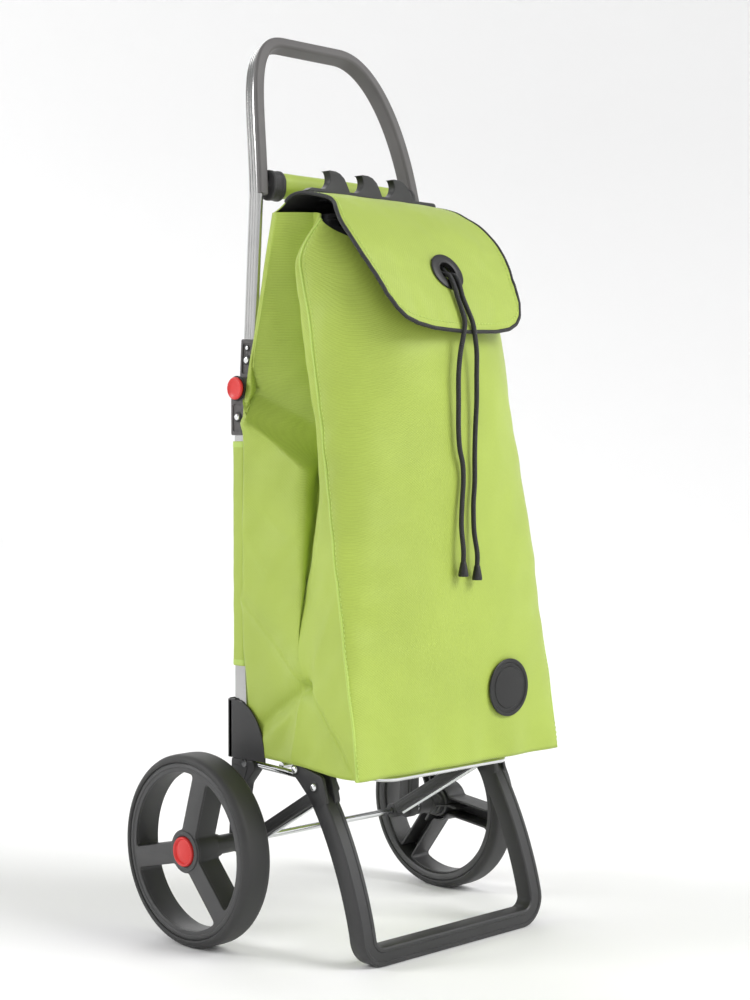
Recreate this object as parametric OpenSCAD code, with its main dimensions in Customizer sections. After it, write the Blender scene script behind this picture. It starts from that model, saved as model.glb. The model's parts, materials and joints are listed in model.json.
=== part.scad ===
// Folding two-wheel shopping trolley: tubular frame, fold-up platform and foot, soft bag with a flap.
// +Z is up, -Y is the front, X is across. The origin is on the floor, under the middle of the trolley.

/* [Wheels] */
// Diameter over the tyre
wheel_d = 220; // [200:1:240]
// Width of the wheel
wheel_w = 38; // [30:1:42]
// Distance across the outer faces of the two wheels
track_w = 450; // [430:1:480]
// Diameter of the axle rod
axle_d = 8; // [6:0.5:10]
// Distance of the axle behind the origin
axle_y = 59; // [50:1:70]
// Width of a spoke
spoke_w = 24; // [18:1:30]
// Direction of the first spoke of the left wheel, from the rear towards the top
spoke_turn_left = -13; // [-60:0.5:60]
// Direction of the first spoke of the right wheel
spoke_turn_right = 67; // [0:0.5:120]

/* [Frame] */
// Width of the flat-oval tube, across the trolley
tube_w = 9; // [8:0.5:10]
// Depth of the flat-oval tube, front to back
tube_depth = 20; // [18:0.5:22]
// Wall of the tube
tube_wall = 1.5; // [1:0.1:2]
// Distance of the lower tubes from the middle
lower_x = 141.5; // [140:0.5:144]
// Distance of the upper tubes from the middle
upper_x = 129; // [127:0.5:130]
// Distance of the lower tubes in front of the axle
tube_setback = 5.5; // [4:0.5:7]
// Height of the fold pivots
pivot_z = 637; // [620:1:650]
// Forward lean of the upper tubes, in degrees
upper_lean = 3.4; // [2:0.1:4]
// Height of the crossbar under the handle
crossbar_z = 873; // [865:1:880]
// Height of the middle of the handle's top bar
handle_top_z = 1051; // [1030:1:1080]

/* [Platform and foot] */
// Height of the platform's rear pivots
platform_z = 204; // [198:1:206]
// Distance of the platform's rear pivots in front of the axle
platform_setback = 18; // [17:0.5:20]
// Distance of the foot's upper pivots in front of the axle
foot_pivot_setback = 107; // [100:1:112]
// Height of the foot's upper pivots
foot_pivot_z = 208; // [204:0.5:208]
// Distance of the strut pivots in front of the axle
strut_pivot_setback = 138; // [132:1:142]
// Height of the strut pivots on the foot
strut_pivot_z = 192; // [188:1:194]
// Distance of the foot's front edge in front of the axle
foot_reach = 217; // [205:1:225]
// Thickness of the foot's bar
foot_bar = 22; // [18:1:24]
// Distance of the struts from the middle
strut_x = 118; // [115:1:119]

/* [Bag] */
// Height of the bag's underside
bag_z = 214; // [214:0.5:220]
// Width of the bag's bottom at the front
bag_w = 332; // [300:1:340]
// Distance of the bag's front in front of the axle
bag_reach = 224; // [200:1:230]
// Thickness of the fabric
cloth = 1.6; // [1:0.1:2]
// Height of the mouth at the back
mouth_back_z = 843; // [835:1:846]
// Height of the mouth at the front
mouth_front_z = 785; // [770:1:790]
// Diameter of the drawcord
cord_d = 5.5; // [4:0.5:6]
// Diameter of the round badge
badge_d = 67; // [40:1:72]

/* [Hidden] */
$fn = 48;

CHARCOAL = [0.15, 0.15, 0.16];
GREY = [0.33, 0.32, 0.31];
SILVER = [0.82, 0.83, 0.84];
CHROME = [0.75, 0.76, 0.78];
LIME = [0.62, 0.76, 0.25];
RED = [0.85, 0.15, 0.15];
RUBBER = [0.13, 0.13, 0.13];
BLACK = [0.06, 0.06, 0.06];

axle_z = wheel_d / 2;
wheel_x = track_w / 2 - wheel_w / 2;
tube_y = axle_y - tube_setback;
upper_back = 1;
gap = 0.3;
pin_d = 6;
pin_gap = 0.05;
platform_y = axle_y - platform_setback;
foot_pivot_y = axle_y - foot_pivot_setback;
strut_pivot_y = axle_y - strut_pivot_setback;
foot_front_y = axle_y - foot_reach;
bag_front_y = axle_y - bag_reach;

// ---------- general shapes ----------

// Flat oval with semicircular ends, w across and d deep
module oval(w, d) {
    translate([0, (d - w) / 2]) circle(d = w);
    translate([0, -(d - w) / 2]) circle(d = w);
    square([w, d - w], center = true);
}

// The same thing on the left or right side: s is -1 or 1
module side(s) {
    mirror([s < 0 ? 1 : 0, 0, 0]) children();
}

// A rod along X from x0 to x1
module rod_x(x0, x1, y, z, d) {
    translate([x0, y, z]) rotate([0, 90, 0]) cylinder(h = x1 - x0, d = d);
}

// A flat outline in the YZ plane, drawn as [y, z] points, from x0 to x1
module slab_x(x0, x1) {
    translate([x0, 0, 0]) rotate([90, 0, 90]) linear_extrude(x1 - x0) children();
}

function cubic(a, b, c, d, t) =
    a * pow(1 - t, 3) + b * 3 * pow(1 - t, 2) * t + c * 3 * (1 - t) * t * t + d * pow(t, 3);
function unit(v) = v / norm(v);
function sweep_sides(rings, n) = [
    for (i = [0 : rings - 2], j = [0 : n - 1], upper = [0, 1])
        let (a = i * n + j, b = i * n + (j + 1) % n)
        upper == 0 ? [a, b, b + n] : [a, b + n, a + n]
];
function reversed(f) = [for (k = [len(f) - 1 : -1 : 0]) f[k]];

// Closed skin over a row of rings that all have the same number of points
module skin(rings) {
    n = len(rings[0]);
    last = (len(rings) - 1) * n;
    polyhedron(
        points = [for (r = rings, p = r) p],
        faces = concat(sweep_sides(len(rings), n),
            [[for (j = [n - 1 : -1 : 0]) j]], [[for (j = [0 : n - 1]) last + j]]),
        convexity = 6);
}

// Wall between outer and inner rows of rings, open at the last ring, with or without a floor
module hollow(outer, inner, with_floor) {
    n = len(outer[0]);
    m = len(outer);
    last = (m - 1) * n;
    around = [for (j = [0 : n - 1]) [j, (j + 1) % n]];
    polyhedron(
        points = concat([for (r = outer, p = r) p], [for (r = inner, p = r) p]),
        faces = concat(sweep_sides(m, n),
            [for (f = sweep_sides(m, n)) [for (k = reversed(f)) k + m * n]],
            [for (e = around) [last + e[0], last + e[1], last + e[1] + m * n]],
            [for (e = around) [last + e[0], last + e[1] + m * n, last + e[0] + m * n]],
            with_floor ? [[for (j = [n - 1 : -1 : 0]) j], [for (j = [0 : n - 1]) m * n + j]]
                : concat([for (e = around) [e[1], e[0], m * n + e[0]]],
                    [for (e = around) [e[1], m * n + e[0], m * n + e[1]]])),
        convexity = 8);
}

// Round tube of diameter d along a route, with the given number of sides
function route_tangent(p, i) = unit(p[min(i + 1, len(p) - 1)] - p[max(i - 1, 0)]);
function route_ring(p, i, d, sides) =
    let (t = route_tangent(p, i), u = unit(cross(t, [1, 0.02, 0.03])), v = cross(t, u))
    [for (k = [0 : sides - 1])
        p[i] + u * cos(360 * k / sides) * d / 2 + v * sin(360 * k / sides) * d / 2];
module route_tube(p, d, sides) {
    skin([for (i = [0 : len(p) - 1]) route_ring(p, i, d, sides)]);
}

// ---------- lower frame ----------

lower_tube_z0 = 214;
lower_tube_z1 = 616;

module lower_tube(s) {
    color(SILVER) side(s) translate([lower_x, tube_y, lower_tube_z0])
        linear_extrude(lower_tube_z1 - lower_tube_z0) difference() {
            oval(tube_w, tube_depth);
            oval(tube_w - 2 * tube_wall, tube_depth - 2 * tube_wall);
        }
}
module lower_tube_left() { lower_tube(-1); }
module lower_tube_right() { lower_tube(1); }

crossbar_low_z = 340;
module lower_crossbar() {
    inner_face = lower_x - tube_w / 2;
    color(SILVER) difference() {
        rod_x(-inner_face, inner_face, tube_y, crossbar_low_z, 14);
        rod_x(-inner_face - 1, inner_face + 1, tube_y, crossbar_low_z, 11);
    }
}

// Plastic knuckles: the lower one carries the outer eye, the upper one the inner eye
eye_d = 27;
knuckle_wall = 1.5;
eye_split_x = (lower_x + upper_x) / 2;
lower_out_x = lower_x + tube_w / 2 + knuckle_wall;
upper_in_x = upper_x - tube_w / 2 - knuckle_wall;
knuckle_depth = tube_depth + 2 * knuckle_wall;
knuckle_low_z = 583;
knuckle_top_z = 694;
rivet_offset_z = 33;

module knuckle_lower(s) {
    in_x = eye_split_x + gap / 2;
    color(GREY) side(s) difference() {
        union() {
            slab_x(in_x, lower_out_x) {
                translate([tube_y - knuckle_depth / 2, knuckle_low_z])
                    square([knuckle_depth, pivot_z - knuckle_low_z]);
                translate([tube_y, pivot_z]) circle(d = eye_d);
            }
        }
        translate([lower_x, tube_y, knuckle_low_z - 1])
            linear_extrude(lower_tube_z1 - knuckle_low_z + 1) oval(tube_w, tube_depth);
        rod_x(in_x - 1, lower_out_x + 1, tube_y, pivot_z, pin_d + 2 * pin_gap);
        rod_x(lower_out_x - 4, lower_out_x + 1, tube_y, pivot_z, button_stem_d + 1);
        rod_x(in_x - 1, lower_out_x + 1, tube_y, pivot_z - rivet_offset_z, rivet_d);
        translate([in_x - 1, tube_y, pivot_z]) rotate([0, 90, 0]) rotate_extrude()
            translate([rivet_offset_z - rivet_head_d / 2 - 1.5, 0])
                square([rivet_head_d + 3, rivet_flat_h + gap + 0.85]);
    }
}
module knuckle_lower_left() { knuckle_lower(-1); }
module knuckle_lower_right() { knuckle_lower(1); }

// Everything of the upper frame is drawn upright about the pivot, then leaned forward
module leaned() {
    translate([0, tube_y, pivot_z]) rotate([upper_lean, 0, 0]) translate([0, -tube_y, -pivot_z])
        children();
}

upper_tube_z0 = 656;
module knuckle_upper(s) {
    out_x = eye_split_x - gap / 2;
    color(GREY) side(s) leaned() difference() {
        slab_x(upper_in_x, out_x) {
            translate([tube_y - knuckle_depth / 2 + upper_back, pivot_z])
                square([knuckle_depth, knuckle_top_z - pivot_z]);
            translate([tube_y, pivot_z]) circle(d = eye_d);
        }
        translate([upper_x, tube_y + upper_back, upper_tube_z0])
            linear_extrude(knuckle_top_z) oval(tube_w, tube_depth);
        rod_x(upper_in_x - 1, out_x + 1, tube_y, pivot_z, pin_d);
        rod_x(upper_in_x - 1, out_x + 1, tube_y + upper_back, pivot_z + rivet_offset_z, rivet_d);
    }
}
module knuckle_upper_left() { knuckle_upper(-1); }
module knuckle_upper_right() { knuckle_upper(1); }

pin_in_x = upper_in_x - 2.5;
module pivot_pins() {
    color(CHROME) for (s = [-1, 1]) side(s) {
        rod_x(upper_in_x, lower_out_x - 5, tube_y, pivot_z, pin_d);
        rod_x(pin_in_x, upper_in_x, tube_y, pivot_z, pin_d + 4);
    }
}

// Rivets: the upper heads are flat, and pass through a groove in the lower knuckle
rivet_d = 4;
rivet_head_d = 8;
rivet_head_h = 3.2;
rivet_flat_h = 1.4;
module knuckle_rivets_lower() {
    in_x = eye_split_x + gap / 2;
    color(CHROME) for (s = [-1, 1]) side(s) {
        rod_x(in_x, lower_out_x + rivet_head_h, tube_y, pivot_z - rivet_offset_z, rivet_d);
        rod_x(lower_out_x, lower_out_x + rivet_head_h, tube_y, pivot_z - rivet_offset_z,
            rivet_head_d);
    }
}
module knuckle_rivets_upper() {
    out_x = eye_split_x - gap / 2;
    y = tube_y + upper_back;
    z = pivot_z + rivet_offset_z;
    color(CHROME) for (s = [-1, 1]) side(s) leaned() {
        rod_x(upper_in_x, out_x + rivet_flat_h, y, z, rivet_d);
        rod_x(upper_in_x - rivet_flat_h, upper_in_x, y, z, rivet_head_d);
        rod_x(out_x, out_x + rivet_flat_h, y, z, rivet_head_d);
    }
}

// Red release buttons: a dished cap outside the lower eye, on a short stem
button_d = 26;
button_h = 3.5;
button_travel = 2;
button_stem_d = 12;
button_stem_len = 3.4;
button_x = lower_out_x + button_travel + gap;
module fold_button(s) {
    color(RED) side(s) {
        rod_x(button_x, button_x + button_h, tube_y, pivot_z, button_d);
        rod_x(button_x - button_stem_len, button_x, tube_y, pivot_z, button_stem_d);
    }
}
module fold_button_left() { fold_button(-1); }
module fold_button_right() { fold_button(1); }
module button_springs() {
    color(CHROME) for (s = [-1, 1]) side(s) difference() {
        rod_x(lower_out_x - 4, button_x - button_stem_len, tube_y, pivot_z, 10);
        rod_x(lower_out_x - 5, button_x, tube_y, pivot_z, 7.5);
    }
}

// Fabric sleeves that tie the bag to the lower tubes
sleeve_z0 = 316;
sleeve_z1 = 576;
sleeve_t = 1.7;
module tube_sleeve(s) {
    color(LIME) side(s) translate([lower_x, tube_y, sleeve_z0])
        linear_extrude(sleeve_z1 - sleeve_z0) difference() {
            oval(tube_w + 2 * sleeve_t, tube_depth + 2 * sleeve_t);
            oval(tube_w, tube_depth);
            translate([-tube_w - 5, -5]) square([tube_w + 5, 10]);
        }
}
module tube_sleeve_left() { tube_sleeve(-1); }
module tube_sleeve_right() { tube_sleeve(1); }

// Plastic shell round the bag's lower back
apron_z0 = 208.5;
apron_z1 = 276;
apron_wall = 2.6;
apron_x = 149.5;
apron_back_y = axle_y + 12.5;
wing_front_y = axle_y - 53;
wing_top_y = axle_y - 2;
module apron() {
    inner_x = apron_x - apron_wall;
    wing_h = apron_z1 - apron_z0;
    wing_run = wing_top_y - wing_front_y;
    color(CHARCOAL) {
        translate([-apron_x, apron_back_y - apron_wall, apron_z0])
            cube([2 * apron_x, apron_wall, wing_h]);
        for (s = [-1, 1]) side(s) slab_x(inner_x, apron_x) {
            translate([wing_top_y, apron_z0])
                square([apron_back_y - apron_wall / 2 - wing_top_y, wing_h]);
            polygon(concat([[wing_top_y, apron_z0]],
                [for (a = [0 : 6 : 90])
                    [wing_top_y - wing_run * cos(a), apron_z0 + wing_h * sin(a)]]));
        }
    }
}

// Rear legs: a plug up into the tube, a forked gusset for the platform, an eye on the axle
leg_w = 14;
leg_eye_d = 24;
slot_w = 7;
module rear_leg(s) {
    x0 = lower_x - leg_w / 2;
    leg_top_z = apron_z0 - 0.5;
    color(CHARCOAL) side(s) difference() {
        union() {
            slab_x(x0, x0 + leg_w) {
                polygon([[axle_y + 6, leg_top_z], [axle_y - 31, leg_top_z],
                    [axle_y - 36, leg_top_z - 9], [axle_y - 19, 180], [axle_y - 12, 110],
                    [axle_y + 12, 110], [axle_y + 9, 150]]);
                translate([axle_y, axle_z]) circle(d = leg_eye_d);
            }
            translate([lower_x, tube_y, leg_top_z - 1]) linear_extrude(32)
                oval(tube_w - 2 * tube_wall, tube_depth - 2 * tube_wall);
        }
        rod_x(x0 - 1, x0 + leg_w + 1, axle_y, axle_z, axle_d);
        rod_x(x0 - 1, x0 + leg_w + 1, platform_y, platform_z, pin_d);
        translate([lower_x - slot_w / 2, axle_y - 60, platform_z - 9.5])
            cube([slot_w, 60 - platform_setback + 8.5, 40]);
        rod_x(x0 - 1, x0 + leg_w + 1, tube_y, bolt_z, bolt_d);
    }
}
module rear_leg_left() { rear_leg(-1); }
module rear_leg_right() { rear_leg(1); }

bolt_z = 224;
bolt_d = 5;
module leg_bolts() {
    color(CHROME) for (s = [-1, 1]) side(s) {
        rod_x(lower_x - tube_w / 2 + tube_wall, lower_x + tube_w / 2 - tube_wall,
            tube_y, bolt_z, bolt_d);
    }
}

module axle() {
    color(CHROME) rod_x(-wheel_x - 15, wheel_x + 15, axle_y, axle_z, axle_d);
}
boss_len = 34;
washer_x = wheel_x - wheel_w / 2 - boss_len - 0.5;
module axle_washers() {
    color(CHROME) for (s = [-1, 1]) side(s) difference() {
        union() {
            rod_x(washer_x - 1.6, washer_x, axle_y, axle_z, 18);
            rod_x(wheel_x + 11.5, wheel_x + 13, axle_y, axle_z, 15);
        }
        rod_x(washer_x - 5, wheel_x + 20, axle_y, axle_z, axle_d);
    }
}
module platform_pins() {
    color(CHROME) for (s = [-1, 1]) side(s) {
        rod_x(lower_x - leg_w / 2, lower_x + leg_w / 2, platform_y, platform_z, pin_d);
        rod_x(lower_x + leg_w / 2, lower_x + leg_w / 2 + 1.6, platform_y, platform_z, 9);
        rod_x(lower_x - leg_w / 2 - 1.6, lower_x - leg_w / 2, platform_y, platform_z, 9);
    }
}

// ---------- upper frame ----------

// Middle line of the tube: straight and leaned, then bending back into the arch
arch_z0 = 860;
arch_flat_x = 46;
arch_back = 0.13;
arch_curl = 0.0008;
straight_slope = tan(upper_lean);
straight_foot = tube_y + upper_back;
function tube_line_y(z) = straight_foot - straight_slope * (z - pivot_z);
function arch_y(z) = let (h = z - arch_z0)
    tube_line_y(arch_z0) + arch_back * h + arch_curl * h * h;
function path_y(z) = z < arch_z0 ? tube_line_y(z) : arch_y(z);
function path_tilt(z) = z < arch_z0 ? -upper_lean : atan(arch_back + 2 * arch_curl * (z - arch_z0));
function arch_xz(t) = [
    cubic(upper_x, upper_x - 9, 108, arch_flat_x, t),
    cubic(arch_z0, arch_z0 + 98, handle_top_z, handle_top_z, t)
];
ARCH_STEPS = 12;
right_arch = [for (i = [0 : ARCH_STEPS]) arch_xz(i / ARCH_STEPS)];
right_leg = [for (z = [upper_tube_z0, 720, 790, 840]) [upper_x, z]];
half_path = concat(right_leg, right_arch, [[14, handle_top_z]]);
function mirrored(p) = [for (i = [len(p) - 1 : -1 : 0]) [-p[i][0], p[i][1]]];
function lifted(p) = [for (q = p) [q[0], path_y(q[1]), q[1]]];
function whole(p) = lifted(concat(p, mirrored(p)));

// Rings of a section given as [outward, backward] points along the arch
function frame_ring(p, i, section) =
    let (t = route_tangent(p, i), a = path_tilt(p[i][2]), w = [0, cos(a), -sin(a)],
        n = unit(cross(w, t)))
    [for (q = section) p[i] + n * q[0] + w * q[1]];
function oval_points(w, d) = [for (k = [0 : 15])
    let (a = 360 * (k + 0.5) / 16, r = w / 2, off = (d - w) / 2)
    [r * cos(a), r * sin(a) + (sin(a) > 0 ? off : -off)]];

// Pipe along the arch with an outer and an inner section
module pipe(path, outer, inner) {
    hollow([for (i = [0 : len(path) - 1]) frame_ring(path, i, outer)],
        [for (i = [0 : len(path) - 1]) frame_ring(path, i, inner)], false);
}
module handle_tube() {
    color(SILVER) pipe(whole(half_path), oval_points(tube_w, tube_depth),
        oval_points(tube_w - 2 * tube_wall, tube_depth - 2 * tube_wall));
}

// Soft grip: covers the tube's front and inner side
grip_section = [[4.6, -7], [4.5, -11], [2.5, -13], [-6.5, -13], [-9, -10.5], [-9, 5.5],
    [-6.5, 8], [-4.7, 8], [-4.7, -5.5], [-3.4, -9], [0, -10.3], [3.4, -9]];
module handle_grip() {
    path = whole(concat(right_arch, [[14, handle_top_z]]));
    color(GREY) difference() {
        skin([for (i = [0 : len(path) - 1]) frame_ring(path, i, grip_section)]);
        for (s = [-1, 1]) side(s)
            rod_x(crossbar_end_x - 12, crossbar_end_x + 1, crossbar_y, crossbar_z, crossbar_d);
    }
}

crossbar_d = 15;
crossbar_y = axle_y - 19.5;
crossbar_end_x = upper_x - tube_w / 2 - 0.1;
module upper_crossbar() {
    color(SILVER) difference() {
        rod_x(-crossbar_end_x, crossbar_end_x, crossbar_y, crossbar_z, crossbar_d);
        rod_x(-crossbar_end_x - 1, crossbar_end_x + 1, crossbar_y, crossbar_z, crossbar_d - 3);
    }
}

band_half = 98;
band_y = axle_y - 22.5;
module crossbar_band() {
    color(LIME) difference() {
        slab_x(-band_half, band_half) translate([band_y, crossbar_z]) oval(27, 30);
        rod_x(-band_half - 1, band_half + 1, crossbar_y, crossbar_z, crossbar_d);
    }
}
strap_w = 19;
module crossbar_straps() {
    color(BLACK) for (s = [-1, 1]) side(s) difference() {
        slab_x(band_half + gap, band_half + strap_w) translate([band_y, crossbar_z - 1]) oval(28, 35);
        rod_x(band_half - 1, band_half + strap_w + 1, crossbar_y, crossbar_z, crossbar_d);
    }
}

// Rail with three shark-fin hooks, on a plate screwed up into the crossbar
rail_y = axle_y - 73;
rail_t = 11;
rail_z0 = 857;
rail_z1 = 866;
rail_half = 104;
hook_z = 885;
hook_xs = [-68, -15, 37];
module hook_fin(x) {
    difference() {
        polygon([[x, hook_z], [x + 11, hook_z - 0.5], [x + 20, hook_z - 8], [x + 30, rail_z1],
            [x + 30, rail_z0 + 1], [x - 8, rail_z0 + 1], [x - 8, rail_z1 + 8], [x, hook_z - 2]]);
        translate([x - 9, rail_z1 + 10.5]) circle(r = 10.5);
    }
}
module hook_rail() {
    plate_back_y = crossbar_y + 5;
    color(CHARCOAL) {
        translate([0, rail_y + rail_t / 2, 0]) rotate([90, 0, 0]) linear_extrude(rail_t) {
            polygon([[-rail_half, rail_z1 - 2], [-rail_half + 8, rail_z1], [rail_half, rail_z1],
                [rail_half, rail_z0], [-rail_half + 30, rail_z0]]);
            translate([rail_half, (rail_z0 + rail_z1) / 2]) circle(d = rail_z1 - rail_z0);
            for (x = hook_xs) hook_fin(x);
        }
        difference() {
            translate([-70, rail_y, rail_z0 - 3]) cube([140, plate_back_y - rail_y, 3.5]);
            for (s = [-1, 1]) translate([s * 60, crossbar_y, rail_z0 - 4]) cylinder(h = 8, d = 4);
            translate([-71, rail_y + rail_t / 2, rail_z0 + 0.2]) cube([142, 60, 3]);
        }
    }
}
module rail_screws() {
    color(CHROME) for (s = [-1, 1]) translate([s * 60, crossbar_y, rail_z0 - 5]) {
        cylinder(h = 9.5, d = 4);
        cylinder(h = 2, d = 8);
    }
}

// ---------- flap ----------

// Side view of the flap's middle line, as [distance in front of the axle, height]
flap_hinge_y = axle_y - 80;
flap_hinge_z = 853;
flap_t = 2;
function flap_mid(t) = [
    cubic(flap_hinge_y, axle_y - 150, axle_y - 185, axle_y - 225, t),
    cubic(flap_hinge_z, flap_hinge_z + 3, 801, 708, t)
];
function flap_slope(t) = let (d = flap_mid(min(t + 0.01, 1)) - flap_mid(max(t - 0.01, 0)))
    unit(d);
flap_straight = 0.72;
function flap_half(t) = 114 + 10 * sin(min(t / 0.45, 1) * 90)
    - (t < flap_straight ? 0 : 74 * pow((t - flap_straight) / (1 - flap_straight), 2.6))
    - (t < 0.45 ? 0 : 22 * (t - 0.45));
function flap_ring(t) =
    let (m = flap_mid(t), d = flap_slope(t), n = [d[1], -d[0]] * flap_t / 2, w = flap_half(t))
    [[-w, m[0] - n[0], m[1] - n[1]], [w, m[0] - n[0], m[1] - n[1]],
        [w, m[0] + n[0], m[1] + n[1]], [-w, m[0] + n[0], m[1] + n[1]]];
FLAP_STEPS = 18;
eyelet_at = 0.765;
eyelet_tilt = let (d = flap_slope(eyelet_at)) atan2(d[1], -d[0]);
module at_eyelet() {
    m = flap_mid(eyelet_at);
    translate([0, m[0], m[1]]) rotate([-eyelet_tilt, 0, 0]) children();
}
eyelet_d = 47;
eyelet_hole = 24;
module bag_flap() {
    color(LIME) difference() {
        skin([for (i = [0 : FLAP_STEPS]) flap_ring(i / FLAP_STEPS)]);
        at_eyelet() cylinder(h = 20, d = eyelet_hole + 4, center = true);
    }
}
module eyelet() {
    color(BLACK) at_eyelet() rotate_extrude() {
        translate([eyelet_hole / 2, -2.6]) square([2, 5.2]);
        translate([eyelet_hole / 2, flap_t / 2 + 0.3]) square([(eyelet_d - eyelet_hole) / 2, 1.6]);
        translate([eyelet_hole / 2, -flap_t / 2 - 1.9]) square([(eyelet_d - eyelet_hole) / 2, 1.6]);
    }
}
piping_d = 4.5;
function flap_edge(t, s) = let (m = flap_mid(t)) [s * flap_half(t), m[0], m[1]];
piping_route = concat(
    [for (i = [0 : FLAP_STEPS]) flap_edge(i / FLAP_STEPS, -1)],
    [for (i = [FLAP_STEPS : -1 : 0]) flap_edge(i / FLAP_STEPS, 1)]);
module flap_piping() {
    color(BLACK) route_tube(piping_route, piping_d, 8);
}
module flap_root() {
    front = flap_hinge_y + gap;
    back = axle_y - 39;
    color(LIME) translate([-114, front, flap_hinge_z - 4]) cube([228, back - front, flap_t]);
}

// ---------- bag ----------

bag_back_y = axle_y - 18.2;
bag_top_z = mouth_back_z;
function rise(z) = (z - bag_z) / (bag_top_z - bag_z);
function bag_half(z) = bag_w / 2 - 42 * pow(max(rise(z), 0), 1.6);
function bag_back_half(z) = z < 285 ? 145.6
    : z < 330 ? 145.6 + 6 * (z - 285) / 45 : 151.6 - 27 * pow(max((z - 500) / 343, 0), 1.3);
function bag_back(z) = bag_back_y - straight_slope * max(z - 610, 0);
function bag_front(z) = bag_front_y - 2 * sin(min(rise(z) / 0.35, 1) * 90)
    + 8 * pow(max(rise(z) - 0.35, 0) / 0.5, 2) + 44 * pow(max(rise(z) - 0.84, 0) / 0.16, 1.6);
function corner_r(z) = 8 + 78 * (1 - exp(-pow(max(z - bag_z, 0) / 170, 1.5)));
side_mid_y = axle_y - 57;
// Half outline of the bag at height z, shrunk by c: back middle, round the side, front middle
function bag_half_ring(z, c) =
    let (wb = bag_back_half(z) - c, wf = bag_half(z) - c, yb = bag_back(z) - c,
        yf = bag_front(z) + c, r = corner_r(z) - c, ws = min(max(wb, 146 - c), wf))
    concat([[wb - 5, yb], [wb, yb - 5], [z < 290 ? wb : (wb + ws) / 2, side_mid_y]],
        [for (a = [0 : 15 : 90]) [wf - r + r * cos(a), yf + r - r * sin(a)]]);
// The mouth slopes down towards the front, and every level follows it in proportion
front_share = (mouth_front_z - bag_z) / (mouth_back_z - bag_z);
function front_z(z) = bag_z + (z - bag_z) * front_share;
function slanted(y, z) =
    z - (z - front_z(z)) * (bag_back(z) - y) / (bag_back(z) - bag_front(z));
function bag_ring(z, c, lift) = let (h = bag_half_ring(z, c))
    concat([for (p = h) [p[0], p[1], slanted(p[1], z) + lift]],
        [for (i = [len(h) - 1 : -1 : 0]) [-h[i][0], h[i][1], slanted(h[i][1], z) + lift]]);
bag_levels = [bag_z, 228, 250, 272, 290, 312, 335, 380, 430, 480, 530, 580, 630, 680, 720, 760,
    800, 825, mouth_back_z];
module bag_body() {
    color(LIME) hollow([for (z = bag_levels) bag_ring(z, 0, 0)],
        [for (z = bag_levels) bag_ring(z, cloth, z == bag_z ? cloth : 0)], true);
}
collar_levels = [735, 770, 805, mouth_back_z];
module bag_collar() {
    color(BLACK) hollow([for (z = collar_levels) bag_ring(z, cloth + 0.4, -1)],
        [for (z = collar_levels) bag_ring(z, cloth + 1.6, -1)], false);
}

badge_x = 74;
badge_z = 291;
badge_t = 2.5;
badge_gap = 0.5;
module badge() {
    color(BLACK) translate([badge_x, bag_front_y - 2 - badge_gap, badge_z]) rotate([90, 0, 0])
        difference() {
            cylinder(h = badge_t, d = badge_d);
            translate([0, 0, badge_t - 0.8]) difference() {
                cylinder(h = 1, d = badge_d - 10);
                translate([0, 0, -1]) cylinder(h = 3, d = badge_d - 16);
            }
        }
}

// ---------- drawcord ----------

// Each strand comes out of the mouth, through the eyelet, and hangs down the bag's front
cord_end_len = 17;
cord_end_d = 12;
left_route = [[-5, -86, 772], [-5, -92, 783], [-5, -99, 790], [-5, -107, 793], [-5, -113, 792],
    [-5, -119, 788], [-5, -123, 781], [-5, -127, 773], [-5, -133, 767], [-5, -140, 765],
    [-5, -147, 763], [-5, -151, 758], [-5, -154, 752], [-4, -156, 746], [-4, -159, 738],
    [-4, -165, 725], [-5, -171, 710], [-8, -172, 695], [-12, -171, 675], [-15, -171, 650],
    [-15, -171, 620], [-15, -171, 590], [-13, -171, 568], [-8, -171, 550], [-7, -171, 530],
    [-9, -171, 505], [-11, -172, 480], [-11, -175, 455], [-11, -175, 441]];
right_route = [[5, -86, 772], [5, -92, 783], [5, -99, 790], [5, -107, 793], [5, -113, 792],
    [5, -119, 788], [5, -123, 781], [5, -127, 773], [5, -133, 767], [5, -140, 765],
    [5, -147, 763], [5, -151, 758], [5, -154, 752], [5, -156, 746], [5, -159, 738],
    [6, -165, 725], [8, -171, 710], [11, -172, 695], [14, -172, 675], [15, -171, 650],
    [15, -171, 620], [13, -171, 590], [12, -171, 560], [12, -171, 530], [10, -171, 505],
    [10, -172, 475], [12, -175, 450], [12, -175, 436]];
module drawcord_left() { color(BLACK) route_tube(left_route, cord_d, 8); }
module drawcord_right() { color(BLACK) route_tube(right_route, cord_d, 8); }
module cord_end(tip) {
    color(BLACK) translate([tip[0], tip[1], tip[2] - cord_end_len])
        cylinder(h = cord_end_len, d1 = cord_end_d, d2 = cord_d + 1.5);
}
module cord_end_left() { cord_end(left_route[len(left_route) - 1]); }
module cord_end_right() { cord_end(right_route[len(right_route) - 1]); }

// ---------- platform ----------

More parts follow.
